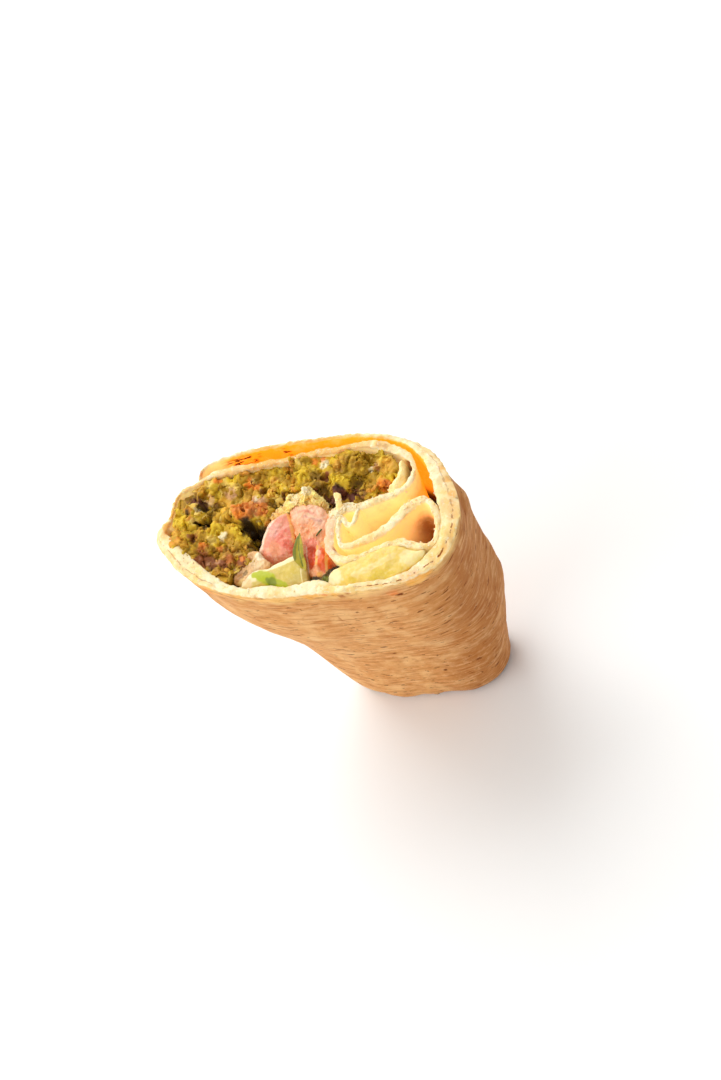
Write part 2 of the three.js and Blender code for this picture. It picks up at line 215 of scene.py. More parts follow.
# ---------------------------------------------------------------- the form of the roll
@dataclass(frozen=True)
class RollForm:
    """The shape that every piece of the wrap shares, in millimetres on the cut face."""

    cut_height: float = 84.0
    slope_x: float = -0.088
    slope_y: float = 0.109
    half_length: float = 40.3
    half_width: float = 21.6
    centring: float = -0.36
    squareness: tuple[float, ...] = (2.7, 2.4, 2.4, 2.35, 2.0, 2.0, 2.7, 3.5)
    body: Table = (
        (0, 0.53, 0.42, -0.5, 0.9), (0.02, 0.57, 0.48, -0.4, 0.9), (0.07, 0.6, 0.56, -0.1, 0.8),
        (0.16, 0.64, 0.64, 0.5, 0.8), (0.42, 0.78, 0.74, 1.5, 1.5), (0.72, 0.9, 0.91, -0.4, -0.6),
        (1, 1, 1, 0, 0),
    )

    def cut(self, x: Array, y: Array) -> Array:
        """Height of the cut face over a point, in millimetres."""
        return self.cut_height + self.slope_x * x + self.slope_y * y

    def section(self, share: Array) -> Array:
        """Width factors and shifts of the body at shares of its height.

        Args:
            share: Shares of the height in 0..1.

        Returns:
            Four rows: the factors along X and Y and the shifts along X and Y.
        """
        table = np.array(self.body)
        keys, columns = table[:, 0], table[:, 1:]
        before = np.maximum(np.arange(len(keys)) - 1, 0)
        after = np.minimum(np.arange(len(keys)) + 1, len(keys) - 1)
        slopes = (columns[after] - columns[before]) / (keys[after] - keys[before])[:, None]
        k = np.clip(np.searchsorted(keys, share) - 1, 0, len(keys) - 2)
        span = keys[k + 1] - keys[k]
        t = ((share - keys[k]) / span)[:, None]
        ease = t * t * (3 - 2 * t)
        bend = slopes[k] * t * (1 - t) ** 2 - slopes[k + 1] * t * t * (1 - t)
        return (columns[k] + (columns[k + 1] - columns[k]) * ease + span[:, None] * bend).T

    def place(self, x: Array, y: Array, share: Array) -> Array:
        """Places points of the cut face at shares of the height, in metres.

        Args:
            x: Millimetres along X on the cut face.
            y: Millimetres along Y on the cut face.
            share: Shares of the height; above 1 is above the cut.

        Returns:
            One row of three coordinates for every point.
        """
        level = np.clip(share, 0, 1)
        factor_x, factor_y, shift_x, shift_y = self.section(level)
        px = self.centring + shift_x + factor_x * x
        py = shift_y + factor_y * y
        return np.stack([px, py, share * self.cut(x, y)], 1) * MM

    def radius(self, degrees: Array) -> Array:
        """Distance from the middle to the outside of the roll, in millimetres."""
        turn = np.mod(degrees, 360)
        powers = np.array(self.squareness + self.squareness[:1])
        power = np.interp(turn, np.arange(0, 361, 45), powers)
        x = np.abs(np.cos(np.radians(turn))) / self.half_length
        y = np.abs(np.sin(np.radians(turn))) / self.half_width
        return (x**power + y**power) ** (-1 / power)


FORM = RollForm()


def flow(points: Sequence[Sequence[float]], closed: bool = False, divisions: int = 16) -> Array:
    """Smooth curve through a few points (centripetal Catmull-Rom).

    Args:
        points: The points that the curve passes, with any number of columns.
        closed: Whether the curve runs back to its start.
        divisions: Points made between two neighbours.

    Returns:
        The points of the curve.
    """
    p = np.asarray(points, float)
    p = np.vstack([p[-1:], p, p[:2]]) if closed else np.vstack([2 * p[0] - p[1], p, 2 * p[-1] - p[-2]])
    pieces = []
    for a, b, c, d in zip(p[:-3], p[1:-2], p[2:-1], p[3:]):
        knots = [0.0]
        for first, second in ((a, b), (b, c), (c, d)):
            knots.append(knots[-1] + max(1e-6, np.linalg.norm((second - first)[:2]) ** 0.5))
        t = np.linspace(knots[1], knots[2], divisions, endpoint=False)[:, None]
        k0, k1, k2, k3 = knots
        ab = (k1 - t) / (k1 - k0) * a + (t - k0) / (k1 - k0) * b
        bc = (k2 - t) / (k2 - k1) * b + (t - k1) / (k2 - k1) * c
        cd = (k3 - t) / (k3 - k2) * c + (t - k2) / (k3 - k2) * d
        abc = (k2 - t) / (k2 - k0) * ab + (t - k0) / (k2 - k0) * bc
        bcd = (k3 - t) / (k3 - k1) * bc + (t - k1) / (k3 - k1) * cd
        pieces.append((k2 - t) / (k2 - k1) * abc + (t - k1) / (k2 - k1) * bcd)
    if not closed:
        pieces.append(p[-2:-1])
    return np.vstack(pieces)


def respaced(curve: Array, count: int) -> Array:
    """Spreads `count` points evenly along a curve."""
    steps = np.linalg.norm(np.diff(curve[:, :2], axis=0), axis=1)
    along = np.concatenate([[0], np.cumsum(steps)])
    wanted = np.linspace(0, along[-1], count)
    return np.stack([np.interp(wanted, along, column) for column in curve.T], 1)


# ---------------------------------------------------------------- node graphs
class Graph:
    """A small builder for the nodes of one material."""

    def __init__(self, name: str) -> None:
        """Starts an empty material with its output and shader.

        Args:
            name: The material's name.
        """
        self.material = bpy.data.materials.new(name)
        self.material.use_nodes = True
        self.tree = self.material.node_tree
        self.tree.nodes.clear()
        self.shader = self.node("ShaderNodeBsdfPrincipled")
        self.node("ShaderNodeOutputMaterial", {"Surface": self.shader.outputs[0]})

    def node(self, kind: str, values: dict | None = None, **settings: object) -> bpy.types.Node:
        """Adds a node.

        Args:
            kind: The node's type.
            values: A value or a socket for some of its inputs.
            settings: Values for some of its properties.

        Returns:
            The node.
        """
        made = self.tree.nodes.new(kind)
        for key, value in settings.items():
            setattr(made, key, value)
        for key, value in (values or {}).items():
            self.feed(made.inputs[key], value)
        return made

    def feed(self, target: Socket, value: object) -> None:
        """Gives an input a value or a link."""
        if isinstance(value, Socket):
            self.tree.links.new(value, target)
        else:
            target.default_value = value

    def set(self, name: str, value: object) -> None:
        """Gives one of the shader's inputs a value or a link."""
        self.feed(self.shader.inputs[name], value)

    def place(self, uv: bool = False, stretch: Triple = (1, 1, 1)) -> Socket:
        """Coordinates for a pattern.

        Args:
            uv: Whether the pattern follows the sheet's own map, and not the object.
            stretch: Factors along the three directions.

        Returns:
            The socket of the coordinates.
        """
        source = self.node("ShaderNodeTexCoord").outputs["UV" if uv else "Object"]
        return self.node("ShaderNodeMapping", {"Scale": stretch, "Vector": source}).outputs[0]

    def noise(self, where: Socket, scale: float, detail: float = 4, rough: float = 0.6) -> Socket:
        """A noise pattern in 0..1."""
        values = {"Vector": where, "Scale": scale, "Detail": detail, "Roughness": rough}
        return self.node("ShaderNodeTexNoise", values).outputs["Fac"]

    def drawn_out(self, stretch: float, scale: float, detail: float = 4, rough: float = 0.6) -> Socket:
        """A noise pattern on the sheet's own map, drawn out along the sheet."""
        return self.noise(self.place(uv=True, stretch=(stretch, 1, 1)), scale, detail, rough)

    def cells(self, where: Socket, scale: float) -> Socket:
        """Distance to the nearest of many scattered points."""
        return self.node("ShaderNodeTexVoronoi", {"Vector": where, "Scale": scale}).outputs["Distance"]

    def ramp(self, value: Socket, low: float, high: float) -> Socket:
        """Rises from 0 at `low` to 1 at `high`; falls when `low` is above `high`."""
        values = {"Value": value, "From Min": min(low, high), "From Max": max(low, high)}
        values |= {"To Min": float(low > high), "To Max": float(low < high)}
        return self.node("ShaderNodeMapRange", values, interpolation_type="SMOOTHSTEP").outputs[0]

    def scale(self, value: Socket, low: float, high: float) -> Socket:
        """Spreads a 0..1 value between two numbers."""
        return self.node("ShaderNodeMapRange", {"Value": value, "To Min": low, "To Max": high}).outputs[0]

    def math(self, operation: str, first: object, second: object = 0.0) -> Socket:
        """One arithmetic step."""
        return self.node("ShaderNodeMath", {0: first, 1: second}, operation=operation).outputs[0]

    def mix(self, amount: object, first: object, second: object, blend: str = "MIX") -> Socket:
        """Mixes two colours by an amount in 0..1."""
        values = {"Factor": amount, 6: first, 7: second}
        return self.node("ShaderNodeMix", values, data_type="RGBA", blend_type=blend).outputs[2]

    def wash(
        self,
        below: Socket,
        colour: Rgb,
        pattern: Socket,
        span: tuple[float, float],
        share: float,
        where: Socket | None = None,
        blend: str = "MIX",
    ) -> Socket:
        """Lays a colour over another one where a pattern is strong.

        Args:
            below: The colour underneath.
            colour: The colour on top, as screen values.
            pattern: The pattern, in 0..1.
            span: Where in the pattern the colour starts and where it is at its full share.
            share: That full share, in 0..1.
            where: A second share that limits it, or none.
            blend: How the two colours mix.

        Returns:
            The mixed colour.
        """
        amount = self.scale(self.ramp(pattern, *span), 0, share)
        amount = amount if where is None else self.math("MULTIPLY", where, amount)
        return self.mix(amount, below, srgb(*colour), blend)

    def attribute(self, name: str, output: str = "Color") -> Socket:
        """A piece's own colour, or its own number with the output Fac."""
        return self.node("ShaderNodeAttribute", attribute_name=name).outputs[output]

    def channels(self, name: str) -> list[Socket]:
        """The red, green and blue channels of a piece's own colour."""
        parts = self.node("ShaderNodeSeparateColor", {0: self.attribute(name)})
        return list(parts.outputs)[:3]

    def bump(self, height: Socket, strength: float, depth: float) -> None:
        """Adds relief finer than the mesh, on top of any added before.

        Args:
            height: The pattern, in 0..1.
            strength: How strongly it shows, in 0..1.
            depth: Its depth in metres.
        """
        values = {"Strength": strength, "Distance": depth, "Height": height}
        normal = self.shader.inputs["Normal"]
        if normal.links:
            values["Normal"] = normal.links[0].from_socket
        self.feed(normal, self.node("ShaderNodeBump", values).outputs[0])

    def glow(self, weight: float, reach: Triple, depth: float) -> None:
        """Lets light through the surface, by `depth` metres times the reach of each colour."""
        self.set("Subsurface Weight", weight)
        self.set("Subsurface Radius", reach)
        self.set("Subsurface Scale", depth)


# ---------------------------------------------------------------- shaping helpers
def weigh(piece: Object, name: str, weights: Array) -> None:
    """Stores a weight in 0..1 for every vertex in a vertex group.

    Args:
        piece: The piece that gets the group.
        name: The group's name.
        weights: One weight for every vertex.
    """
    group = piece.vertex_groups.new(name=name)
    levels = 250
    steps = np.round(np.clip(weights, 0, 1) * levels).astype(int)
    for step in np.unique(steps):
        group.add(np.flatnonzero(steps == step).tolist(), step / levels, "REPLACE")


def depth_below_cut(points: Array) -> Array:
    """Depth of points under the cut face, in millimetres."""
    mm = points / MM
    return FORM.cut(mm[:, 0] - FORM.centring, mm[:, 1]) - mm[:, 2]


def on_cut(points: Array) -> Array:
    """Places of points on the cut face's plan, in millimetres."""
    return np.stack([points[:, 0] / MM - FORM.centring, points[:, 1] / MM], 1)


def shade(piece: Object, degrees: float) -> None:
    """Smooths a piece's shading except over bends sharper than some degrees."""
    select_only(piece)
    bpy.ops.object.shade_smooth_by_angle(angle=math.radians(degrees))


def settle(piece: Object, material: Material, slot: str, *nodes: str) -> Object:
    """Gives a finished piece its material and its place in the frame.

    Args:
        piece: The finished piece.
        material: Its material.
        slot: Not used.
        nodes: The solids that it stands for.

    Returns:
        The piece.
    """
    piece.vertex_groups.clear()
    piece.data.materials.clear()
    piece.data.materials.append(material)
    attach(piece, BODY)
    if nodes:
        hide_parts(*nodes)
    log.info("%s: %d faces", piece.name, len(piece.data.polygons))
    return piece


# ---------------------------------------------------------------- colours by place
class Tone(Enum):
    """Colours of what shows on the cut face, and the painted shade of its holes, as screen values."""

    LIME = (228, 190, 42)
    OLIVE = (186, 139, 28)
    MOSS = (142, 104, 22)
    STRAW = (248, 214, 116)
    CREAM = (255, 240, 196)
    AMBER = (232, 172, 62)
    ORANGE = (242, 142, 40)
    RUST = (228, 138, 60)
    CRUST = (142, 78, 32)
    PLUM = (116, 62, 42)
    # the next two are painted shade for the holes and gaps between the lumps
    SOOT = (44, 20, 6)
    PIT = (58, 40, 8)
    MAUVE = (214, 162, 116)
    BLUSH = (226, 176, 116)


@dataclass(frozen=True)
class Spot:
    """A patch of one tone on the cut face, in millimetres."""

    x: float
    y: float
    radius: float
    tone: Enum
    strength: float = 1.0

    def reach(self, plan: Array) -> Array:
        """Distance from the middle of the patch, as a share of its radius."""
        return np.hypot(plan[:, 0] - self.x, plan[:, 1] - self.y) / self.radius


@dataclass(frozen=True)
class Streak:
    """A line of one tone on the cut face, in millimetres."""

    line: Table
    width: float
    tone: Enum
    strength: float = 1.0

    def reach(self, plan: Array) -> Array:
        """Distance from the line, as a share of its half width."""
        best = np.full(len(plan), np.inf)
        line = np.array(self.line, float)
        for first, along in zip(line[:-1], np.diff(line, axis=0)):
            t = np.clip((plan - first) @ along / (along @ along), 0, 1)[:, None]
            best = np.minimum(best, np.linalg.norm(plan - first - t * along, axis=1))
        return best * 2 / self.width


def paint(
    piece: Object,
    base: Callable[[Array], Array],
    spots: Sequence[Spot | Streak],
    wobble: float = 0.5,
    grain: float = 2.0,
    seed: float = 1.0,
    mask: Array | None = None,
) -> None:
    """Paints a piece with a base colour and patches with uneven edges.

    Args:
        piece: The piece to paint.
        base: Gives one linear colour for every point, from the points in metres.
        spots: The patches, the later ones over the earlier ones.
        wobble: How uneven the edges of the patches are.
        grain: Width of that unevenness in millimetres.
        seed: Shifts the unevenness.
        mask: Where the patches may show, in 0..1 for every vertex, or everywhere.
    """
    points = corners_of(piece)
    plan = on_cut(points)
    colours = base(points)
    rough = smooth_noise(points, grain * MM, seed, 2)
    shown = np.ones(len(points)) if mask is None else mask
    for spot in spots:
        amount = smoothstep(1.25 - spot.reach(plan) + wobble * rough, 0, 0.5) * shown * spot.strength
        colours = colours + (linear(spot.tone) - colours) * amount[:, None]
    add_tint(piece, "paint", colours)


def layered(base: Enum, *layers: tuple[Enum, Array]) -> Array:
    """Lays tones over a base tone, the later ones over the earlier ones.

    Args:
        base: The tone underneath.
        layers: Tones with their amounts in 0..1 for every point.

    Returns:
        One linear colour for every point.
    """
    colours = np.tile(linear(base), (len(layers[0][1]), 1))
    for tone, amount in layers:
        colours = colours + (linear(tone) - colours) * np.clip(amount, 0, 1)[:, None]
    return colours


# ---------------------------------------------------------------- pieces made from a bent grid
def bent_grid(name: str, columns: int, rows: int, places: Callable[[Array, Array], Array]) -> Object:
    """Bends a grid into a closed piece and welds its seam and poles.

    Args:
        name: The piece's name.
        columns: Faces round the piece.
        rows: Faces along it.
        places: Gives the points, in metres, from the shares 0..1 round and along the piece.

    Returns:
        The piece, with its faces pointing outwards.
    """
    bpy.ops.mesh.primitive_grid_add(x_subdivisions=columns, y_subdivisions=rows, size=2)
    piece = named(bpy.context.object, name)
    flat = corners_of(piece)
    around = np.rint((flat[:, 0] + 1) / 2 * columns) % columns / columns
    move_corners(piece, places(around, (flat[:, 1] + 1) / 2))
    with editing(piece):
        bpy.ops.mesh.remove_doubles(threshold=WELD)
        face_outwards()
    return piece


def strand(name: str, rows: Table, power: float, columns: int, steps: int, fold: float = 0.0) -> Object:
    """Sweeps a rounded section along a line on the cut face.

    Args:
        name: The piece's name.
        rows: x, y, height of the middle over the cut face, half width and half height, in millimetres.
        power: 1 for a round section, less for a boxy one.
        columns: Faces round the section.
        steps: Faces along the line.
        fold: How far the two sides rise over the middle, as a share of their distance.

    Returns:
        The piece.
    """
    line = respaced(flow(rows), steps + 1)
    along = np.gradient(line[:, :2], axis=0)
    along /= np.linalg.norm(along, axis=1)[:, None]

    def places(around: Array, share: Array) -> Array:
        """Points of the section at shares of its turn and of the line."""
        k = np.rint(share * steps).astype(int)
        x, y, height, wide, tall = line[k].T
        end = np.sqrt(np.clip(1 - (2 * share - 1) ** 8, 0, 1))
        turn = around * 2 * np.pi
        cos, sin = np.cos(turn), np.sin(turn)
        side = np.sign(cos) * np.abs(cos) ** power * wide * end
        rise = np.sign(sin) * np.abs(sin) ** power * tall * end + fold * np.abs(side)
        px, py = x - along[k, 1] * side, y + along[k, 0] * side
        return FORM.place(px, py, 1 + (height + rise) / FORM.cut(px, py))

    return bent_grid(name, columns, steps, places)


# ---------------------------------------------------------------- the flatbread
SEAM = 0.66  # share of the rim's thickness, from its inner side, at which two pressed layers meet


class Crumb(Enum):
    """Colours of the bread, as screen values."""

    WHITE = (255, 238, 196)
    CREAM = (252, 226, 172)
    BUTTER = (250, 212, 136)
    TAN = (241, 190, 114)
    PINK = (250, 206, 164)
    HONEY = (244, 178, 84)
    BURNT = (178, 104, 52)
    EMBER = (232, 130, 60)
    SKIN = (214, 150, 88)
    BROWN = (174, 106, 50)
    PALE = (240, 192, 132)
    INSIDE = (255, 232, 158)
    # painted orange where light comes through the outer layer
    FLAME = (255, 160, 26)
    SHADE = (192, 122, 46)
    # painted lit colour of the open loop; the colour above is its painted shade
    PEACH = (255, 214, 128)
    # painted shadow in the narrow gaps of the sheet
    RUSTY = (150, 72, 26)


@dataclass(frozen=True)
class BreadFinish:
    """Griddled flatbread in its own colours, with streaks and specks outside and pores where it is cut."""

    streak: Rgb = (168, 98, 46)
    pale: Rgb = (246, 204, 146)
    dash: Rgb = (112, 52, 10)
    press: Rgb = (160, 92, 36)
    pore: Rgb = (238, 186, 104)
    glaze: Rgb = (255, 250, 232)

    def skin(self, g: Graph, painted: Socket, lines: Socket) -> Socket:
        """The outside: streaks along the sheet, short dashes and a few dark flecks.

        Args:
            g: The node builder.
            painted: The piece's own colour.
            lines: The pattern of the streaks.

        Returns:
            The colour.
        """
        uv = g.place(uv=True)
        thin = g.drawn_out(0.07, 2300, 3)
        broad = g.drawn_out(0.3, 170)
        mottle = g.drawn_out(0.55, 520, 5, 0.7)
        dashes = g.drawn_out(0.3, 800, 3, 0.5)
        where = g.ramp(g.noise(uv, 90, 3), 0.34, 0.58)
        skin = g.wash(painted, self.streak, mottle, (0.5, 0.7), 0.5)
        skin = g.wash(skin, self.pale, mottle, (0.5, 0.34), 0.3)
        skin = g.wash(skin, self.streak, lines, (0.5, 0.64), 0.62, where)
        skin = g.wash(skin, self.pale, lines, (0.48, 0.34), 0.3, where)
        skin = g.wash(skin, self.streak, thin, (0.55, 0.7), 0.3)
        skin = g.wash(skin, self.pale, broad, (0.52, 0.7), 0.35)
        skin = g.wash(skin, self.dash, dashes, (0.64, 0.67), 0.8)
        flecks = g.cells(g.place(uv=True, stretch=(0.4, 1, 1)), 240)
        flecks = g.math("ADD", flecks, g.scale(g.drawn_out(0.5, 1100, 2), -0.14, 0.14))
        sparse = g.ramp(g.noise(uv, 110, 2), 0.52, 0.58)
        return g.mix(g.math("MULTIPLY", g.ramp(flecks, 0.18, 0.1), sparse), skin, srgb(*self.dash))

    def crumb(self, g: Graph, painted: Socket, here: Socket) -> Socket:
        """The cut edge: pores, glazed spots, and the seam where two layers are pressed together.

        Args:
            g: The node builder.
            painted: The piece's own colour.
            here: Coordinates of the piece.

        Returns:
            The colour.
        """
        crumb = g.wash(painted, self.pore, g.noise(here, 900, 5, 0.7), (0.52, 0.66), 0.5)
        crumb = g.wash(crumb, self.glaze, g.noise(here, 1300, 3), (0.56, 0.68), 0.45)
        pressed = g.attribute("pressed", "Fac")
        bent = g.math("ADD", g.attribute("side", "Fac"), g.scale(g.noise(here, 160, 3), -0.1, 0.1))
        apart = g.math("ABSOLUTE", g.math("SUBTRACT", bent, SEAM))
        line = g.math("MULTIPLY", g.ramp(apart, 0.05, 0.025), g.ramp(g.noise(here, 420, 3), 0.42, 0.52))
        crumb = g.wash(crumb, self.pore, bent, (SEAM, SEAM + 0.08), 0.5, pressed)
        return g.mix(g.math("MULTIPLY", pressed, line), crumb, srgb(*self.press))

    def make(self) -> Material:
        """Builds the material.

        Returns:
            The material.
        """
        g = Graph("flatbread")
        cut, outside, char = g.channels("zones")
        painted = g.attribute("paint")
        here = g.place()
        lines = g.drawn_out(0.1, 950, 5)
        plain = g.wash(painted, self.pale, g.noise(here, 300), (0.45, 0.7), 0.5)
        face = g.mix(outside, plain, self.skin(g, painted, lines))
        face = g.mix(cut, face, self.crumb(g, painted, here))
        char = g.math("MULTIPLY", char, g.ramp(g.drawn_out(0.3, 1300, 2, 0.5), 0.48, 0.54))
        g.set("Base Color", g.mix(char, face, srgb(*self.dash)))
        g.set("Roughness", g.scale(lines, 0.55, 0.85))
        g.bump(lines, 0.45, 0.0004)
        g.bump(g.noise(here, 2600, 4, 0.7), 0.18, 0.00015)
        g.glow(0.35, (1.0, 0.75, 0.5), 0.002)
        g.set("Specular IOR Level", 0.1)
        # Painted glow: the stored emission colour stands in for light through the thin bread, and none shows
        # where it is charred.
        g.set("Emission Color", g.mix(char, g.attribute("painted_glow"), (0, 0, 0, 1)))
        g.set("Emission Strength", 1.0)
        return g.material


class SheetPoints:
    """Every vertex of the rolled sheet, with its side, its turn and its depth in degrees and millimetres."""

    def __init__(self, piece: Object) -> None:
        """Reads the sheet.

        Args:
            piece: The sheet, with its side and outer turn stored.
        """
        self.points = corners_of(piece)
        self.side = stored(piece, "side")
        self.outer = stored(piece, "outer")
        self.depth = depth_below_cut(self.points)
        self.x, self.y = on_cut(self.points).T
        self.degrees = np.degrees(np.arctan2(self.y, self.x))
        self.rim = (self.side > 0.01) & (self.side < 0.99)

    def noise(self, scale: float, seed: float, octaves: int = 3) -> Array:
        """Seeded noise in about -1..1 at every vertex; the scale is in metres."""
        return smooth_noise(self.points, scale, seed, octaves)

    def where(self, **spans: tuple[float, float]) -> Array:
        """Share in 0..1 that rises with each named value over its span, all multiplied together."""
        share = np.ones(len(self.points))
        for name, (low, high) in spans.items():
            share = share * smoothstep(getattr(self, name), low, high)
        return share

    def near(self, x: float, y: float) -> Array:
        """Distance from a place on the cut face, in millimetres."""
        return np.hypot(self.x - x, self.y - y)

    def pressed(self) -> Array:
        """Where the rim is two layers pressed together, in 0..1."""
        right = smoothstep(np.abs(self.degrees + 8), 52, 40) * (0.4 + 0.6 * self.where(degrees=(2, -14)))
        left = smoothstep(np.abs(np.mod(self.degrees, 360) - 200), 24, 12) * 0.5
        return np.maximum(right, left) * self.outer


class BreadZones(SheetPoints):
    """Shares in 0..1 of what the sheet is at every vertex: cut, outside or charred, and where light, shade
    and shadow in its gaps are painted.
    """

    # degrees over which the gap ends, the rim's depth, and the place of a narrow gap
    FREE_END = (139.0, 147.0)
    RIM_DEPTH = 1.6
    CRACK = (26.4, 10.4)
    # painted glow colours that stand in for light through the outer layer, onto the inner faces, in the open
    # loop and at the free end
    THROUGH = (0.5, 0.2, 0.008)
    INSIDE = (0.3, 0.26, 0.12)
    IN_LOOP = (0.4, 0.25, 0.1)
    AT_END = (0.35, 0.25, 0.1)

    def __init__(self, piece: Object, loop_top: Table) -> None:
        """Works out the shares.

        Args:
            piece: The sheet, with its side and outer turn stored.
            loop_top: The line over which the open loop ends, as rows of x and y.
        """
        super().__init__(piece)
        self.uneven = self.noise(0.006, 31)
        self.fine = self.noise(0.0022, 33)
        self.face_in = self.outer * (1 - self.side)
        self.face_out = (1 - self.outer) * self.side
        edge = smoothstep(self.depth + 0.4 * self.uneven, 1.0, 0.3)
        self.cut = np.maximum(self.rim * (self.depth < self.RIM_DEPTH), edge)
        self.outside = np.maximum(self.outer, self.where(degrees=(147, 151))) * self.side
        self.end_of_gap = self.where(x=(20, 25), y=(4, 7))
        self.corner = self.end_of_gap * self.where(depth=(17, 20))
        self.crack = smoothstep(self.near(*self.CRACK), 3.4, 2.2) * (1 - self.side)
        below_top = np.interp(self.x, *np.transpose(loop_top)) - self.y
        self.loop = self.face_out * smoothstep(below_top, 0, 0.4) * self.where(x=(11, 18))
        self.shaded = smoothstep(self.x + self.uneven, 24.5, 28.5)
        self.shaded = self.shaded * smoothstep(self.depth + self.fine, 3.2, 8)
        self.painted_backlight = self.lit_through()
        self.gap_shade = self.darkened()

    def lit_through(self) -> Array:
        """Where light is painted for the light that comes through the thin outer layer, and where it falls on
        the layer across the gap.
        """
        slant = self.degrees + 1.5 * np.clip(self.depth - 6, 0, 20)
        over_gap = self.where(degrees=(6, 10)) * smoothstep(slant, *reversed(self.FREE_END))
        through = self.face_in * over_gap * smoothstep(self.depth + 0.5 * self.uneven, 0.1, 1.0)
        facing = self.where(y=(8, 14), depth=(1, 3)) + self.where(x=(22, 26), y=(2, 6), depth=(4, 7))
        reach = np.clip((18 + 3 * self.end_of_gap - self.depth) / (9 - 5 * self.end_of_gap), 0, 1)
        painted_backlight = np.clip(through + self.face_out * facing * 0.8, 0, 1) * (1 - self.corner)
        return painted_backlight * smoothstep(reach, 0, 1) * (1 - self.outside)

    def darkened(self) -> Array:
        """Where shadow is painted in the narrow gaps: the crack, the gap's tip and its deep corner."""
        tip = self.face_in * self.where(degrees=(9, 5), depth=(0.4, 1.2)) * self.where(degrees=(-15, 0))
        crack = self.crack * self.where(depth=(0.4, 1.2)) * (1 - self.outer)
        deep = self.corner * np.where(self.outer > 0.5, 1 - self.side, self.side)
        return np.maximum(np.maximum(crack, tip), deep)

    def charred(self, chars: Table) -> Array:
        """Where the lit layer is charred.

        Args:
            chars: Rows of x, y and radius on the cut face.

        Returns:
            The share.
        """
        reach = [smoothstep(1.4 - self.near(x, y) / size, 0, 0.4) for x, y, size in chars]
        blister = smoothstep(self.noise(0.0028, 41), -0.25, 0.05)
        band = self.where(depth=(5.2, 4)) * self.where(depth=(1, 1.8))
        return self.painted_backlight * np.max(reach, axis=0) * blister * band

    def light(self) -> Array:
        """The painted glow, an emission colour that stands in for the light that comes through the sheet.

        Returns:
            One linear colour for every vertex.
        """
        soft = (1 - self.outer) * (0.75 + 0.5 * self.uneven) * self.where(depth=(26, 2), x=(3, 5))
        soft = soft * (1 - 0.95 * self.where(x=(26, 31.5), y=(3, 0), depth=(0.5, 3))) * (1 - self.crack)
        for share in (self.painted_backlight, self.cut, self.gap_shade, self.outside):
            soft = soft * (1 - share)
        soft = np.clip(soft, 0, 1) * (1 - self.loop)
        in_loop = self.loop * (1 - self.cut) * (1 - 0.88 * self.shaded) * self.where(depth=(16, 6))
        at_end = self.face_in * (1 - self.cut) * self.where(degrees=self.FREE_END, depth=(7, 3))
        shares = (self.painted_backlight, soft, in_loop, at_end)
        colours = (self.THROUGH, self.INSIDE, self.IN_LOOP, self.AT_END)
        return sum(np.outer(share, colour) for share, colour in zip(shares, colours))


@dataclass(frozen=True)
class Patch:
    """A toasted or charred patch on the outside, by its turn in degrees and its depth in millimetres."""

    degrees: float
    depth: float
    width: float
    height: float
    tone: Crumb
    strength: float = 1.0

    def amount(self, z: BreadZones) -> Array:
        """How much of the patch shows at every vertex."""
        reach = np.hypot((z.degrees - self.degrees) / self.width, (z.depth - self.depth) / self.height)
        return smoothstep(1.3 - reach + 0.6 * z.fine, 0, 0.7) * self.strength


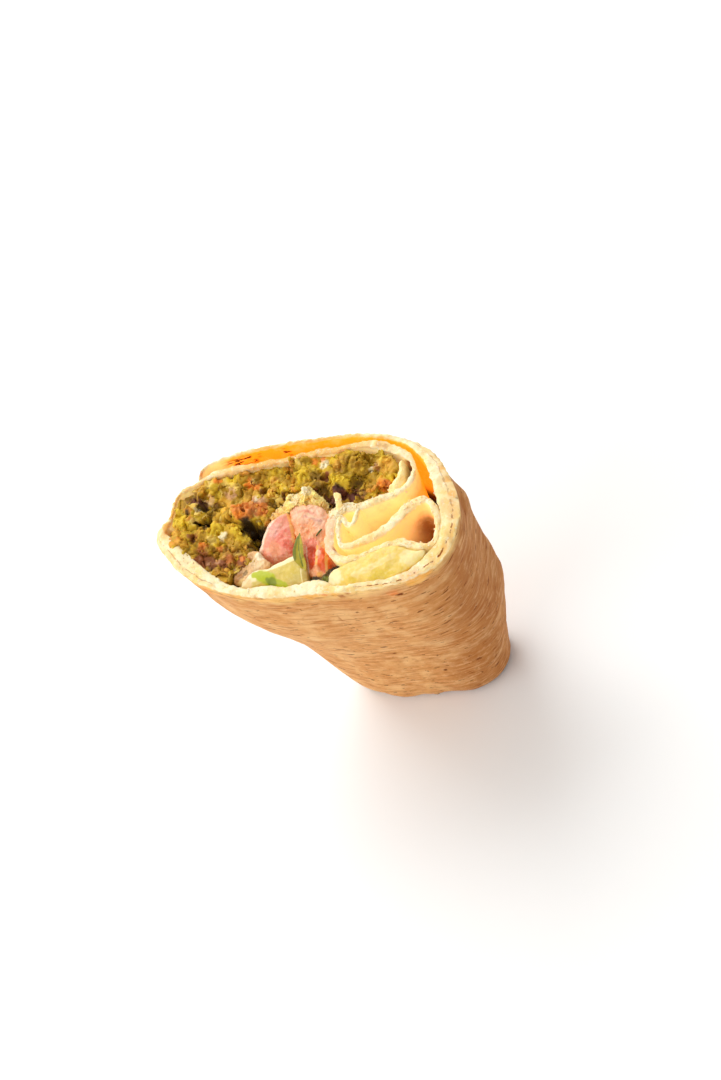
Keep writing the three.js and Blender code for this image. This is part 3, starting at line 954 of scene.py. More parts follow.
@dataclass
class Flatbread:
    """The sheet of bread: a turn round the wrap, an inner turn, the pleats and the folded end.

    The tables of the outer turn (layers, deep_layers, edge, tuck) hold degrees and millimetres. Those of the
    inner turn, the pleats, the flap and the torn bit hold places on the cut face and thicknesses.
    """

    columns: int = 800
    thickest: float = 5.6
    rim_cuts: int = 6
    layers: Table = (
        (-200, 1), (-190, 0.9), (-183, 1.2), (-180, 1.8), (-177.5, 2.8), (-175.5, 3.7), (-170, 4.6),
        (-164, 4.9), (-158, 4.5), (-151, 3.7), (-145, 3.1), (-138, 2.5), (-132, 2), (-128, 1.9),
        (-125, 2.3), (-121, 2.9), (-116, 3.2), (-109, 3.1), (-102, 2.7), (-96, 2.9), (-90, 3.3), (-85, 3.5),
        (-80, 3.9), (-75, 3.8), (-71, 2.7), (-68, 1.9), (-62, 1.5), (-57, 1.7), (-49, 2), (-44, 2.2),
        (-41, 2), (-37, 2.1), (-34, 2.4), (-30, 3.2), (-24, 4.1), (-15, 4), (-10, 4.2), (-4, 4.9),
        (1, 5.4), (6, 5), (10, 4.4), (18, 3.7), (24, 3), (29, 2.2), (35, 1.5), (41, 1.2), (46, 0.9),
        (58, 0.8), (80, 0.7), (157, 0.6),
    )
    deep_layers: Table = (
        (-200, 0.9), (-184, 0.9), (-172, 1.9), (-160, 2.2), (20, 2.6), (40, 1.1), (60, 0.7), (157, 0.6),
    )
    edge: Table = (
        (-200, 0.4), (-194, 0.3), (-190, -0.6), (-187, -1.5), (-183, -1.9), (-180.5, -1), (-178.6, 0.5),
        (-177.2, 1.1), (-175, 0.7), (-170, -0.2), (-150, 0), (-138, 0.4), (-128, 0.1), (-90, 0), (-40, 0),
        (-30, 0.3), (-23, 0.7), (-15, 0.3), (-4, 0.1), (0, -0.3), (4, -1.1), (8.5, -2), (13, -2.3),
        (18, -1.8), (24, -1), (29, -0.35), (34, 0.2), (43, 0.6), (58, 0.6), (70, 0.3), (83, 0), (97, -0.3),
        (120, -0.4), (139, 0), (145, 0.6), (148.6, 0.8), (151, 0.3), (154, -0.9), (157, -2.3),
    )
    tuck: Table = ((-200, 1.6), (-190, 0.6), (-183, 0.2), (-180, 0))
    inner_turn: Table = (
        (-31.9, 11.2, 1), (-29.8, 12.5, 1), (-26.3, 14.2, 1.7), (-22, 14.9, 2), (-13.4, 15.5, 1.6),
        (-4.8, 16.6, 1.5), (4, 17.5, 1.9), (11.5, 18.1, 1.6), (16.5, 18.1, 2.2), (21, 16.7, 2.5),
        (25.2, 14.5, 2.3), (27.1, 12.7, 1.3), (27.9, 10.6, 1.1), (28, 8.6, 1.3), (27.2, 6.8, 1.6),
        (25.6, 5.2, 1.7), (23.6, 4, 1.9), (21, 3.1, 2), (18.4, 2.4, 2), (15.8, 1.7, 2.2),
        (13.2, 1.3, 2.4), (10.6, 1.2, 2.8),
    )
    pleats: Table = (
        (8.5, 0.2, 3.1), (7.2, -1.5, 3.1), (6.8, -4.2, 2.7), (6.7, -6.9, 2.5), (7.2, -9.7, 2.3),
        (8.5, -11.8, 2), (10.4, -12.8, 2), (12.7, -12.9, 1.9), (15.3, -12.6, 1.9), (17.9, -11.8, 2),
        (20.4, -10.8, 2.2), (23, -10.1, 2.4), (25.5, -9.8, 2.3), (28.2, -10.4, 2.1), (30.5, -11.2, 1.8),
        (32.8, -11.1, 1.7), (34.4, -9.8, 1.6), (34.9, -7.5, 1.7), (34.9, -4.8, 1.6), (34.2, -2.1, 1.7),
        (32.8, 0.2, 1.7), (31.2, 1.3, 1.8), (29.4, 1.3, 2.3), (27.7, 0.1, 2.6), (25.7, -1.6, 2.6),
        (23.7, -3.6, 2.6), (21.7, -5.3, 2.5), (19.4, -6.7, 2.4), (17.1, -7.8, 2.2), (14.6, -8.6, 2),
        (12.3, -9.3, 1.7), (10.4, -9.3, 1.3), (9.4, -8, 1.1), (9, -5.8, 1.2), (9, -3.6, 1.4),
        (9.4, -1.8, 1.7), (10.3, -2.3, 1.3), (11.5, -3.6, 1.3), (12.7, -3.4, 1.3), (13.4, -1.9, 1.1),
        (13.8, -0.3, 1.1), (13.9, 0.6, 1.1),
    )
    flap: Table = (
        (24.9, 13.2, 1.2), (24.9, 11.1, 1.5), (24.8, 9.2, 1.9), (24.4, 7.4, 2.5), (23.2, 5.8, 2.6),
        (21.6, 4.2, 2.2),
    )
    torn_bit: Table = (
        (9, -0.1, -0.6, 0.9, 0.8), (9.3, 1.4, 0.4, 0.8, 0.7), (9.2, 2.4, 1.2, 0.7, 0.6),
        (9.3, 3.4, 1.8, 0.95, 0.6), (9.4, 4, 2, 0.7, 0.5),
    )
    loop_top: Table = ((12, -5), (17, -3.2), (21.7, -1), (25.7, 2), (29.4, 4.5), (34, 5))
    chars: Table = (
        (-21.9, 18.8, 2.6), (-23.6, 18.6, 1.6), (-19.6, 19.8, 1.8), (-16.4, 20.6, 1.8), (-7.5, 20.9, 1),
    )
    outer_steps: tuple[float, float] = (157.0, -199.0)
    near_rows: tuple[float, ...] = (0, 0.35, 0.75, 1.2, 1.7, 2.3, 3.0, 3.8, 4.7, 5.7, 6.8, 8.1, 9.6)
    far_rows: int = 32
    lowest: tuple[float, float] = (0.985, 0.9)
    fade: tuple[float, float] = (11.0, 3.0)
    end_height: float = 8.0
    end_share: float = 0.96
    end_flare: float = 1.1
    finish: BreadFinish = field(default_factory=BreadFinish)
    patches: Sequence[Patch] = tuple(Patch(*row) for row in (
        (-82, 0.6, 9, 2.2, Crumb.HONEY), (-74.5, 0.6, 2.6, 1.2, Crumb.EMBER), (-68, 0.8, 3, 1.6, Crumb.HONEY),
        (-42, 4.5, 2.4, 1.6, Crumb.EMBER, 0.8), (-33, 2, 5, 1.8, Crumb.HONEY),
        (-118, 1.4, 26, 1.6, Crumb.HONEY, 0.5), (-158, 2, 16, 3, Crumb.HONEY, 0.8),
        (-150, 3.4, 3, 1.4, Crumb.EMBER, 0.6), (-165, 2.6, 3, 1.4, Crumb.EMBER, 0.5),
        (-65, 2.6, 2.2, 0.5, Crumb.BURNT), (-61, 1.4, 1.6, 0.5, Crumb.BURNT),
        (-78, 13, 1.2, 0.8, Crumb.BURNT), (-18.5, 13, 0.8, 0.7, Crumb.BURNT),
        (-26.5, 12.5, 0.9, 0.6, Crumb.BURNT), (-16.5, 22, 1.2, 0.6, Crumb.BURNT),
        (-14, 6, 0.7, 1.2, Crumb.BURNT), (-13, 9, 0.7, 0.9, Crumb.BURNT), (-60, 22, 2, 0.6, Crumb.BURNT, 0.7),
        (-46, 30, 1.6, 0.7, Crumb.BURNT, 0.7), (-90, 24, 2, 0.6, Crumb.BURNT, 0.7),
    ))
    rim_spots: Sequence[Spot] = tuple(Spot(*row) for row in (
        (-20, 15.2, 4, Crumb.TAN, 0.7), (-12, 15.8, 5, Crumb.TAN), (-3, 16.8, 5, Crumb.TAN),
        (5, 17.4, 5, Crumb.TAN), (12, 18, 4, Crumb.TAN, 0.8), (18.8, 17.4, 0.9, Crumb.BURNT, 0.4),
        (20.4, 16.8, 0.7, Crumb.BURNT, 0.5), (6.4, -3, 2, Crumb.PINK), (6.2, -6, 2.4, Crumb.PINK),
        (6.6, -10, 2, Crumb.PINK), (8.7, -9.9, 0.8, Crumb.BURNT), (9.6, -10.9, 0.6, Crumb.BURNT, 0.5),
        (12, -10.9, 0.8, Crumb.BUTTER), (15, -11.6, 3, Crumb.BUTTER, 0.6), (21, -10, 2.6, Crumb.CREAM),
        (24, -10.4, 2, Crumb.BUTTER, 0.5), (28.5, 0.2, 1.3, Crumb.BUTTER, 0.6),
        (17.5, -7.2, 1.2, Crumb.BUTTER, 0.7), (38.2, -2, 2.6, Crumb.TAN, 0.45),
        (38.6, 2, 1.2, Crumb.HONEY, 0.7), (37.4, 6.4, 1.1, Crumb.HONEY, 0.7),
        (35.2, 9.8, 0.9, Crumb.HONEY, 0.6), (37.6, -8, 2.4, Crumb.BUTTER, 0.9),
        (36.4, -12.4, 1.2, Crumb.HONEY, 0.7), (34.5, -13, 3, Crumb.BUTTER, 0.8),
        (-33, -9, 2.2, Crumb.WHITE, 0.5), (-36, -6, 1.6, Crumb.WHITE, 0.6),
        (-28, -14, 1.6, Crumb.BUTTER, 0.6), (-38.4, -2, 1.2, Crumb.HONEY, 0.5),
        (-37.4, 0.4, 1.6, Crumb.HONEY, 0.9), (-37, 4, 2, Crumb.HONEY, 0.9), (-36, 8, 2, Crumb.HONEY, 0.8),
        (-33, 11.4, 2, Crumb.HONEY, 0.6), (-29.6, 13.4, 2.2, Crumb.HONEY, 0.5),
        (-29.6, 14.4, 0.7, Crumb.EMBER, 0.7), (0, -20, 2.2, Crumb.WHITE), (8, -20.8, 1.8, Crumb.BUTTER, 0.8),
        (28, -18.6, 2.4, Crumb.PINK, 0.6),
    ))

    def path(self) -> Array:
        """The sheet's middle line on the cut face.

        Returns:
            Rows of x, y, thickness at the rim and deeper down, shift of the rim, and 1 on the outer turn.
        """
        degrees = np.arange(*self.outer_steps, -1.0)
        edge = read_table(self.edge, degrees)
        thickness, deeper = read_table(self.layers, degrees), read_table(self.deep_layers, degrees)
        radius = FORM.radius(degrees) - read_table(self.tuck, degrees) + edge - thickness / 2
        turn = np.radians(degrees)
        ones = np.ones(len(turn))
        outer = np.stack([radius * np.cos(turn), radius * np.sin(turn), thickness, deeper, edge, ones], 1)
        inner = flow(self.inner_turn + self.pleats)
        inner = np.column_stack([inner, inner[:, 2], np.zeros(len(inner)), np.zeros(len(inner))])
        line = respaced(np.vstack([outer, inner]), self.columns)
        padded = np.vstack([line[:1], line, line[-1:]])
        return (padded[:-2] + 2 * padded[1:-1] + padded[2:]) / 4

    def depths(self) -> Array:
        """Depths of the sheet's rows under the cut face, as shares of the height."""
        rest = np.linspace(self.near_rows[-1], FORM.cut_height, self.far_rows + 1)[1:]
        return np.concatenate([self.near_rows, rest]) / FORM.cut_height

    def sheet(self) -> Object:
        """Rolls a flat grid into the sheet and gives it its thickness.

        Returns:
            The rolled sheet with its rim still plain.
        """
        line, depths = self.path(), self.depths()
        rows = len(depths)
        bpy.ops.mesh.primitive_grid_add(x_subdivisions=self.columns - 1, y_subdivisions=rows - 1, size=2)
        piece = named(bpy.context.object, "flatbread_sheet")
        flat = corners_of(piece)
        column = np.rint((flat[:, 0] + 1) / 2 * (self.columns - 1)).astype(int)
        row = np.rint((1 - flat[:, 1]) / 2 * (rows - 1)).astype(int)
        lowest = np.where(line[:, 5] > 0.5, *self.lowest)
        share = 1 - depths[row] * lowest[column]
        near = smoothstep(depths[row] * FORM.cut_height, *self.fade)
        x, y, rim, deep, edge, outer = line[column].T
        thickness = deep + (rim - deep) * near
        inwards = (edge * (1 - near) - (rim - thickness) / 2) * outer / np.hypot(x, y)
        points = FORM.place(x - x * inwards, y - y * inwards, share)
        move_corners(piece, points)
        along = np.gradient(line[:, :2], axis=0)
        along /= np.linalg.norm(along, axis=1)[:, None]
        factor_x, factor_y, _, _ = FORM.section(share)
        squeeze = np.hypot(factor_x * along[column, 1], factor_y * along[column, 0])
        weigh(piece, "thickness", thickness * squeeze / self.thickest)
        run = np.concatenate([[0], np.cumsum(np.linalg.norm(np.diff(line[:, :2], axis=0), axis=1))]) * MM
        self.map_sheet(piece, np.stack([run[column], share * FORM.cut_height * MM], 1))
        store(piece, "outer", outer)
        modify(piece, "SOLIDIFY", thickness=self.thickest * MM, offset=0, vertex_group="thickness")
        self.mark_sides(piece, points, along[column])
        self.cut_rim(piece, row == 0)
        return piece

    def map_sheet(self, piece: Object, places: Array) -> None:
        """Lays the sheet out flat in its UV map.

        Args:
            piece: The sheet.
            places: Distance along the sheet and height, in metres, for every vertex.
        """
        corner = np.empty(len(piece.data.loops), np.int32)
        piece.data.loops.foreach_get("vertex_index", corner)
        layer = piece.data.uv_layers.active or piece.data.uv_layers.new(name="UVMap")
        layer.data.foreach_set("uv", places[corner].astype(np.float32).ravel())

    def mark_sides(self, piece: Object, middle: Array, along: Array) -> None:
        """Stores 1 on the sheet's left side, which is the outside of the outer turn, and 0 on the other.

        Args:
            piece: The sheet.
            middle: The points of its middle surface, which the first side has in the same order.
            along: The direction along the sheet at each of them.
        """
        count = len(middle)
        points = corners_of(piece)
        left = np.stack([-along[:, 1], along[:, 0]], 1)
        lean = ((points[:count, :2] - middle[:, :2]) * left).sum(1)
        first_is_left = np.median(lean) > 0
        store(piece, "side", (np.arange(len(points)) < count) == first_is_left)

    def cut_rim(self, piece: Object, at_top: Array) -> None:
        """Divides the cut edge of the sheet across its thickness.

        Args:
            piece: The sheet.
            at_top: True for every vertex of one side that lies on the cut face.
        """
        count = len(at_top)
        ends = np.empty(len(piece.data.edges) * 2, np.int32)
        piece.data.edges.foreach_get("vertices", ends)
        low, high = np.sort(ends.reshape(-1, 2), axis=1).T
        across = (high - low == count) & at_top[np.minimum(low, count - 1)]
        with editing(piece, "EDGE", across):
            bpy.ops.mesh.subdivide(number_cuts=self.rim_cuts)

    def relief(self, piece: Object) -> None:
        """Shapes the rim, the outside and the pleated foot of the sheet.

        Args:
            piece: The sheet.
        """
        s = SheetPoints(piece)
        points = s.points.copy()
        ragged = s.noise(0.0022, 3) * 0.4 + s.noise(0.007, 5, 2) * 0.45
        crown = 0.35 * np.abs(2 * s.side - 1) ** 3
        crumbs = np.maximum(s.noise(0.0014, 9), 0) * s.rim * 0.35
        seam = s.pressed() * smoothstep(np.abs(s.side - SEAM), 0.1, 0.02) * s.rim
        points[:, 2] += (ragged + crumbs - crown - 0.5 * seam) * s.where(depth=(2.4, 0)) * MM
        frayed = np.stack([smooth_noise(points, 0.0011, seed, 2) for seed in (61, 67)], 1)
        points[:, :2] += frayed * (0.34 * s.where(depth=(1.5, 0.2)))[:, None] * MM
        turn = np.radians(s.degrees)
        foot = smoothstep(points[:, 2] / MM, 16, 0) * s.outer * s.side
        pleat = np.cos(9 * turn + np.radians(40) * np.sin(2 * turn))
        ridge = 0.9 * np.exp(-(((s.degrees - 9 - 0.1 * s.depth) / 5) ** 2)) * s.where(depth=(1, 7))
        wall = smooth_noise(points, 0.012, 21, 3) * 0.55 * s.where(depth=(1, 9))
        push = np.maximum(0.3 * (pleat + 0.6) * foot + (ridge + wall) * s.outer * s.side, -0.12) * MM
        points[:, :2] += np.stack([np.cos(turn), np.sin(turn)], 1) * push[:, None]
        points[:, 2] = np.maximum(points[:, 2], 0)
        move_corners(piece, points)

    def zones(self, piece: Object) -> None:
        """Stores where the sheet is cut, outside and charred, its colours with their painted light and shade,
        and the painted glow that stands in for the light through it.

        Args:
            piece: The sheet.
        """
        z = BreadZones(piece, self.loop_top)
        add_tint(piece, "zones", np.stack([z.cut, z.outside, z.charred(self.chars)], 1))
        add_tint(piece, "painted_glow", z.light())
        store(piece, "pressed", z.pressed() * z.rim)
        colours = self.colours(z)
        paint(piece, lambda _: colours, self.rim_spots, wobble=0.5, grain=1.4, seed=3, mask=z.cut)

    def colours(self, z: BreadZones) -> Array:
        """The colours of the rim, the skin and the inner faces, with the light and shade painted on them.

        Args:
            z: What the sheet is at every vertex.

        Returns:
            One linear colour for every vertex.
        """
        # Browner on the right side of the roll: partly toasting, partly painted shade on the side away from
        # the light.
        toast_and_shade_right = smoothstep(z.degrees + 0.3 * z.depth, -44, -8) * z.where(degrees=(60, 20))
        skin = layered(
            Crumb.SKIN,
            (Crumb.PALE, 0.5 * z.where(uneven=(0.0, 0.6))),
            (Crumb.BROWN, toast_and_shade_right * (0.8 + 0.4 * z.uneven)),
            (Crumb.BUTTER, 0.8 * smoothstep(z.depth + 2.2 * z.uneven, 4.5, 0.5)),
            *((patch.tone, patch.amount(z)) for patch in self.patches),
        )
        inner = layered(
            Crumb.INSIDE,
            # honey patches at random, and deeper down the inner faces painted darker as shade between the
            # layers
            (Crumb.HONEY, 0.35 * z.where(uneven=(0.1, 0.6)) + 0.4 * z.where(depth=(5, 18))),
            # the open loop: a painted lit colour, with painted shade towards its deep right end
            (Crumb.PEACH, z.loop),
            (Crumb.SHADE, z.loop * z.shaded),
            # painted shadow in the narrow gaps
            (Crumb.RUSTY, z.gap_shade),
            # painted orange where light comes through the outer layer
            (Crumb.FLAME, z.painted_backlight * (1 - z.gap_shade)),
        )
        crumb = layered(
            Crumb.CREAM,
            (Crumb.WHITE, smoothstep(z.uneven + 0.5 * z.fine, -0.15, 0.35)),
            (Crumb.BUTTER, 0.7 * smoothstep(z.fine - 0.4 * z.uneven, 0.25, 0.55)),
        )
        face = inner + (skin - inner) * z.outside[:, None]
        return face + (crumb - face) * z.cut[:, None]

    def inner_flap(self) -> Object:
        """Makes the torn inner layer at the end of the inner turn.

        Returns:
            The torn layer with its torn bit.
        """
        rows = [(x, y, -4.1, width / 2, 4.6) for x, y, width in self.flap]
        flap = strand("inner_flap", rows, 0.75, 60, 40)
        piece = join([flap, strand("torn_bit", self.torn_bit, 0.8, 30, 24)], "inner_flap")
        points = corners_of(piece)
        depth = depth_below_cut(points)
        ragged = 0.5 * smooth_noise(points, 0.0014, 71, 3) + 0.3 * smooth_noise(points, 0.004, 73, 2)
        points[:, 2] += ragged * smoothstep(depth, 2.5, 0) * MM
        frayed = np.stack([smooth_noise(points, 0.0012, seed, 2) for seed in (75, 77)], 1)
        points[:, :2] += frayed * 0.3 * MM
        move_corners(piece, points)
        self.map_sheet(piece, points[:, [0, 2]])
        mixed = 0.3 * smoothstep(smooth_noise(points, 0.002, 79, 2), 0, 0.5)
        add_tint(piece, "paint", layered(Crumb.CREAM, (Crumb.HONEY, mixed)))
        add_tint(piece, "zones", np.outer(smoothstep(depth, 2, 0.5), (1, 0, 0)))
        # Painted glow near the cut, standing in for light through the torn layer.
        add_tint(piece, "painted_glow", np.outer(smoothstep(depth, 9, 1), (0.22, 0.17, 0.04)))
        return piece

    def folded_end(self) -> Object:
        """Makes the closed end, with its flaps folded under.

        Returns:
            The folded end.
        """
        bpy.ops.mesh.primitive_grid_add(x_subdivisions=90, y_subdivisions=56, size=2)
        piece = named(bpy.context.object, "folded_end")
        u, v, _ = corners_of(piece).T
        x, y = u * np.sqrt(1 - v * v / 2), v * np.sqrt(1 - u * u / 2)
        turn = np.arctan2(y, x)
        reach = FORM.radius(np.degrees(turn)) * np.hypot(x, y) * self.end_share
        across, back = reach * np.cos(turn), reach * np.sin(turn)
        points = FORM.place(across, back, np.zeros(len(reach)))
        fold = back - 2.5 - 1.6 * np.sin(across / 8)
        corner = np.abs(across) - 17 - 0.5 * np.abs(back)
        under = 0.9 * smoothstep(fold, 0, 0.7)
        under += 0.7 * smoothstep(corner, 0, 0.8) * smoothstep(fold, -0.5, 0.5)
        under += 0.15 * (1 + smooth_noise(points, 0.006, 51, 2))
        points[:, 2] = under * smoothstep(np.hypot(x, y), 1.0, 0.93) * MM
        move_corners(piece, points)
        top = self.end_height * MM
        with editing(piece):
            bpy.ops.mesh.extrude_region_move(TRANSFORM_OT_translate={"value": (0, 0, top)})
            face_outwards()
        made = corners_of(piece)
        upper = made[:, 2] > top * 0.9
        made[upper, :2] *= self.end_flare
        made[upper, 2] = top
        move_corners(piece, made)
        self.map_sheet(piece, made[:, [0, 2]])
        darkened = smoothstep(smooth_noise(made, 0.008, 53, 3), -0.2, 0.5) * smoothstep(made[:, 2] / MM, 4, 2)
        add_tint(piece, "paint", layered(Crumb.SKIN, (Crumb.BROWN, darkened)))
        add_tint(piece, "zones", np.tile([0.0, 1.0, 0.0], (len(made), 1)))
        add_tint(piece, "painted_glow", np.zeros((len(made), 3)))
        return piece

    def build(self) -> Object:
        """Builds the whole flatbread.

        Returns:
            The finished flatbread.
        """
        sheet = self.sheet()
        self.relief(sheet)
        self.zones(sheet)
        whole = join([sheet, self.folded_end(), self.inner_flap()], "flatbread_sheet")
        shade(whole, 55)
        return settle(whole, self.finish.make(), "flatbread", "flatbread")


# ---------------------------------------------------------------- fillings
def shards(points: Array, size: float, seed: float, warp: float) -> tuple[Array, Array, Array]:
    """Ragged angular pieces that fill space.

    Args:
        points: Points in metres.
        size: Width of a shard in metres.
        seed: Shifts the pattern.
        warp: How ragged the borders are.

    Returns:
        For every point, how far it is inside its shard, the shard's own number in 0..1 and its face's slope.
    """
    shift = Vector((seed * 3.1, seed * 7.7, seed * 1.3))
    middle = Vector((0.5, 0.5, 0.5))
    found = np.empty((len(points), 3))
    for k, p in enumerate(points):
        place = Vector(p) / size + shift
        place += noise.noise_vector(place * 1.9) * warp + noise.noise_vector(place * 5.1) * (warp * 0.35)
        distances, cells = noise.voronoi(place)
        lean = noise.cell_vector(cells[0] * 7.77) - middle
        found[k] = distances[1] - distances[0], noise.cell(cells[0] * 5.13), (place - cells[0]).dot(lean) * 2
    found[:, 1] = np.mod(np.abs(found[:, 1]) * 3.7, 1.0)
    return found[:, 0], found[:, 1], found[:, 2]


@dataclass(frozen=True)
class FalafelFinish:
    """Moist green crumb and browned crust, coloured by the piece's own paint."""

    name: str = "falafel_crumb"
    deep: Rgb = (170, 130, 50)
    pale: Rgb = (252, 228, 140)

    def make(self) -> Material:
        """Builds the material.

        Returns:
            The material.
        """
        g = Graph(self.name)
        here = g.place()
        grain = g.noise(here, 1800, 5, 0.7)
        colour = g.wash(g.attribute("paint"), self.deep, grain, (0.5, 0.3), 0.2, blend="MULTIPLY")
        g.set("Base Color", g.wash(colour, self.pale, grain, (0.6, 0.74), 0.2))
        g.set("Roughness", g.scale(g.noise(here, 420, 3), 0.4, 0.7))
        g.bump(g.noise(here, 2000), 0.22, 0.00015)
        g.glow(0.35, (1.0, 0.8, 0.5), 0.0016)
        g.set("Specular IOR Level", 0.3)
        return g.material


@dataclass
class Falafel:
    """Broken falafel: moist green crumb in ragged lumps, browned at its crust.

    Lumps are given by width, jump, tilt and crease, and dents by x, y, radius and depth, in millimetres.
    """

    node: str
    name: str
    seed: float = 2.0
    voxel: float = 0.8
    cuts: int = 2
    fine_depth: float = 8.0
    rise: float = 1.6
    swell: float = 0.5
    spread: float = 2.4
    roundness: float = 0.6
    softening: int = 8
    # how much painted shade each lump size puts into its cracks
    shadow: Triple = (0.2, 0.05, 0.0)
    evenness: float = 0.45
    big: tuple[float, float, float, float] = (6.0, 1.5, 1.2, 0.5)
    middle: tuple[float, float, float, float] = (3.0, 0.45, 0.5, 0.18)
    small: tuple[float, float, float, float] = (1.5, 0.12, 0.16, 0.03)
    mix: tuple[tuple[Tone, float], ...] = (
        (Tone.LIME, 0.34), (Tone.OLIVE, 0.24), (Tone.MOSS, 0.08), (Tone.STRAW, 0.12), (Tone.AMBER, 0.16),
        (Tone.RUST, 0.06),
    )
    dents: Table = (
        (-14.4, -2.2, 2.2, 4.5), (-13.3, -5.6, 2, 4.5), (-12.6, -8.4, 1, 3), (-16.4, -0.9, 1.2, 3.5),
        (-27.3, 1, 1.5, 4), (-28.3, -0.5, 0.9, 3), (-28.8, 5.4, 1, 2.5), (-32.3, 3.8, 0.8, 2.5),
        (-31.6, 7.7, 1.2, 1.5), (-23.8, 4.3, 0.6, 2), (-24.7, 5.3, 1.2, 1), (-30.2, -3.7, 1, 1.5),
        (-17.5, 2.6, 2.5, -1.6), (-13, 4.1, 2, -1.4), (-15.2, 11, 1.5, -0.8), (-34.4, 2, 2, -0.6),
        (-18.6, -1.5, 1.8, -0.6), (-9.8, 7.9, 1.2, -0.8), (-22.3, -3.3, 1.2, -0.6), (-27.3, -5.9, 1, -0.6),
        (5, 5, 2.2, 1.6), (10.3, 5.3, 2.5, 1.8), (7.1, 2, 1.2, 1.2), (4.4, 10.3, 0.9, 1.6),
        (12.3, 8.4, 1.2, 1.2), (-5.8, 6.4, 1, 1.6), (-9.5, 4.6, 1, 2), (-12.2, 8.2, 1, 1),
        (-2.2, 12.2, 2, -0.5), (7.9, 9.4, 1.8, -0.7), (21.1, 11.6, 2, -0.5), (19.5, 6.8, 1, -0.6),
        (3.6, 14.3, 1, -0.6), (-23.6, -10.1, 3, 1),
    )

    def start(self) -> Object:
        """Starts from a merged copy of the solid and gives it an even mesh, finer near the cut.

        Returns:
            The piece.
        """
        piece = bpy.data.objects.new(self.name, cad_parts[self.node].data.copy())
        piece.data.name = self.name
        bpy.context.scene.collection.objects.link(piece)
        piece.data.materials.clear()
        with editing(piece):
            bpy.ops.mesh.remove_doubles(threshold=WELD / 2)
        modify(piece, "REMESH", mode="VOXEL", voxel_size=self.voxel * MM)
        near = depth_below_cut(read_rows(piece.data.polygons, "center")) < self.fine_depth
        with editing(piece, "FACE", near):
            bpy.ops.mesh.subdivide(number_cuts=self.cuts, smoothness=self.roundness)
        modify(piece, "SMOOTH", factor=0.5, iterations=self.softening)
        return piece

    def lift(self, piece: Object) -> None:
        """Raises the broken top to the cut face, presses its sides out and sinks or raises it in places."""
        points, normals = corners_of(piece), normals_of(piece)
        near = smoothstep(depth_below_cut(points), self.fine_depth, self.fine_depth * 0.4)
        plan = on_cut(points)
        rough = 0.35 * smooth_noise(points, 0.0018, self.seed + 1, 2)
        height = np.full(len(points), self.rise)
        for x, y, radius, depth in self.dents:
            away = np.hypot(plan[:, 0] - x, plan[:, 1] - y) / radius
            height -= depth * smoothstep(away + rough, 1.35, 0.55)
        points[:, 2] += height * near * MM
        corner = smoothstep(plan[:, 0], -22, -31) * smoothstep(plan[:, 1], 1, 5)
        points[:, :2] += normals[:, :2] * ((self.swell + self.spread * corner) * near)[:, None] * MM
        move_corners(piece, points)

    def crumble(self, piece: Object) -> tuple[Array, Array]:
        """Breaks the top into angular lumps of three sizes.

        Args:
            piece: The piece to shape.

        Returns:
            The shade of the cracks and the random number of the middle lumps, for every point.
        """
        points, normals = corners_of(piece), normals_of(piece)
        near = 0.15 + 0.85 * smoothstep(depth_below_cut(points), self.fine_depth, self.fine_depth * 0.5)
        height = 0.05 * smooth_noise(points, 0.0012, self.seed, 3)
        crack = np.ones(len(points))
        drawn: list[Array] = []
        for step, (size, jump, tilt, crease) in enumerate((self.big, self.middle, self.small)):
            inside, draw, slope = shards(points, size * MM, self.seed + 5 * step, 0.5)
            height += jump * (draw - 0.5) + tilt * slope + crease * (smoothstep(inside, 0, 0.25) - 1)
            crack *= 1 - self.shadow[step] * smoothstep(inside, 0.14, 0)
            drawn.append(draw)
        points += normals * (height * near * MM)[:, None]
        move_corners(piece, points)
        return crack, drawn[1]

    def colours(self, draws: Array) -> Callable[[Array], Array]:
        """Prepares the crumb's colours, one tone for each lump.

        Args:
            draws: The random number of the lump for every point.

        Returns:
            A function that gives one linear colour for every point.
        """
        tones = np.array([linear(tone) for tone, _ in self.mix])
        edges = np.cumsum([share for _, share in self.mix])
        chosen = np.minimum(np.searchsorted(edges, draws * edges[-1]), len(tones) - 1)
        even = (linear(Tone.LIME) + linear(Tone.OLIVE)) / 2

        def crumb(points: Array) -> Array:
            """One linear colour for every point."""
            light = 1 + 0.25 * smooth_noise(points, 0.004, self.seed + 4, 3)
            return ((1 - self.evenness) * tones[chosen] + self.evenness * even) * light[:, None]

        return crumb

    def paint_crack_shade(self, piece: Object, crack: Array) -> None:
        """Paints shade into the cracks between the lumps by darkening their colour."""
        layer = piece.data.color_attributes["paint"]
        colours = np.empty(len(crack) * 4, np.float32)
        layer.data.foreach_get("color", colours)
        colours = colours.reshape(-1, 4)
        colours[:, :3] *= crack[:, None]
        layer.data.foreach_set("color", colours.ravel())

    def build(self) -> Object:
        """Builds the piece.

        Returns:
            The finished piece.
        """
        piece = self.start()
        self.lift(piece)
        crack, draws = self.crumble(piece)
        paint(piece, self.colours(draws), FALAFEL_SPOTS, wobble=0.45, grain=1.4, seed=self.seed)
        self.paint_crack_shade(piece, crack)
        shade(piece, 45)
        return settle(piece, FINISHES["falafel"], "falafel", self.node)


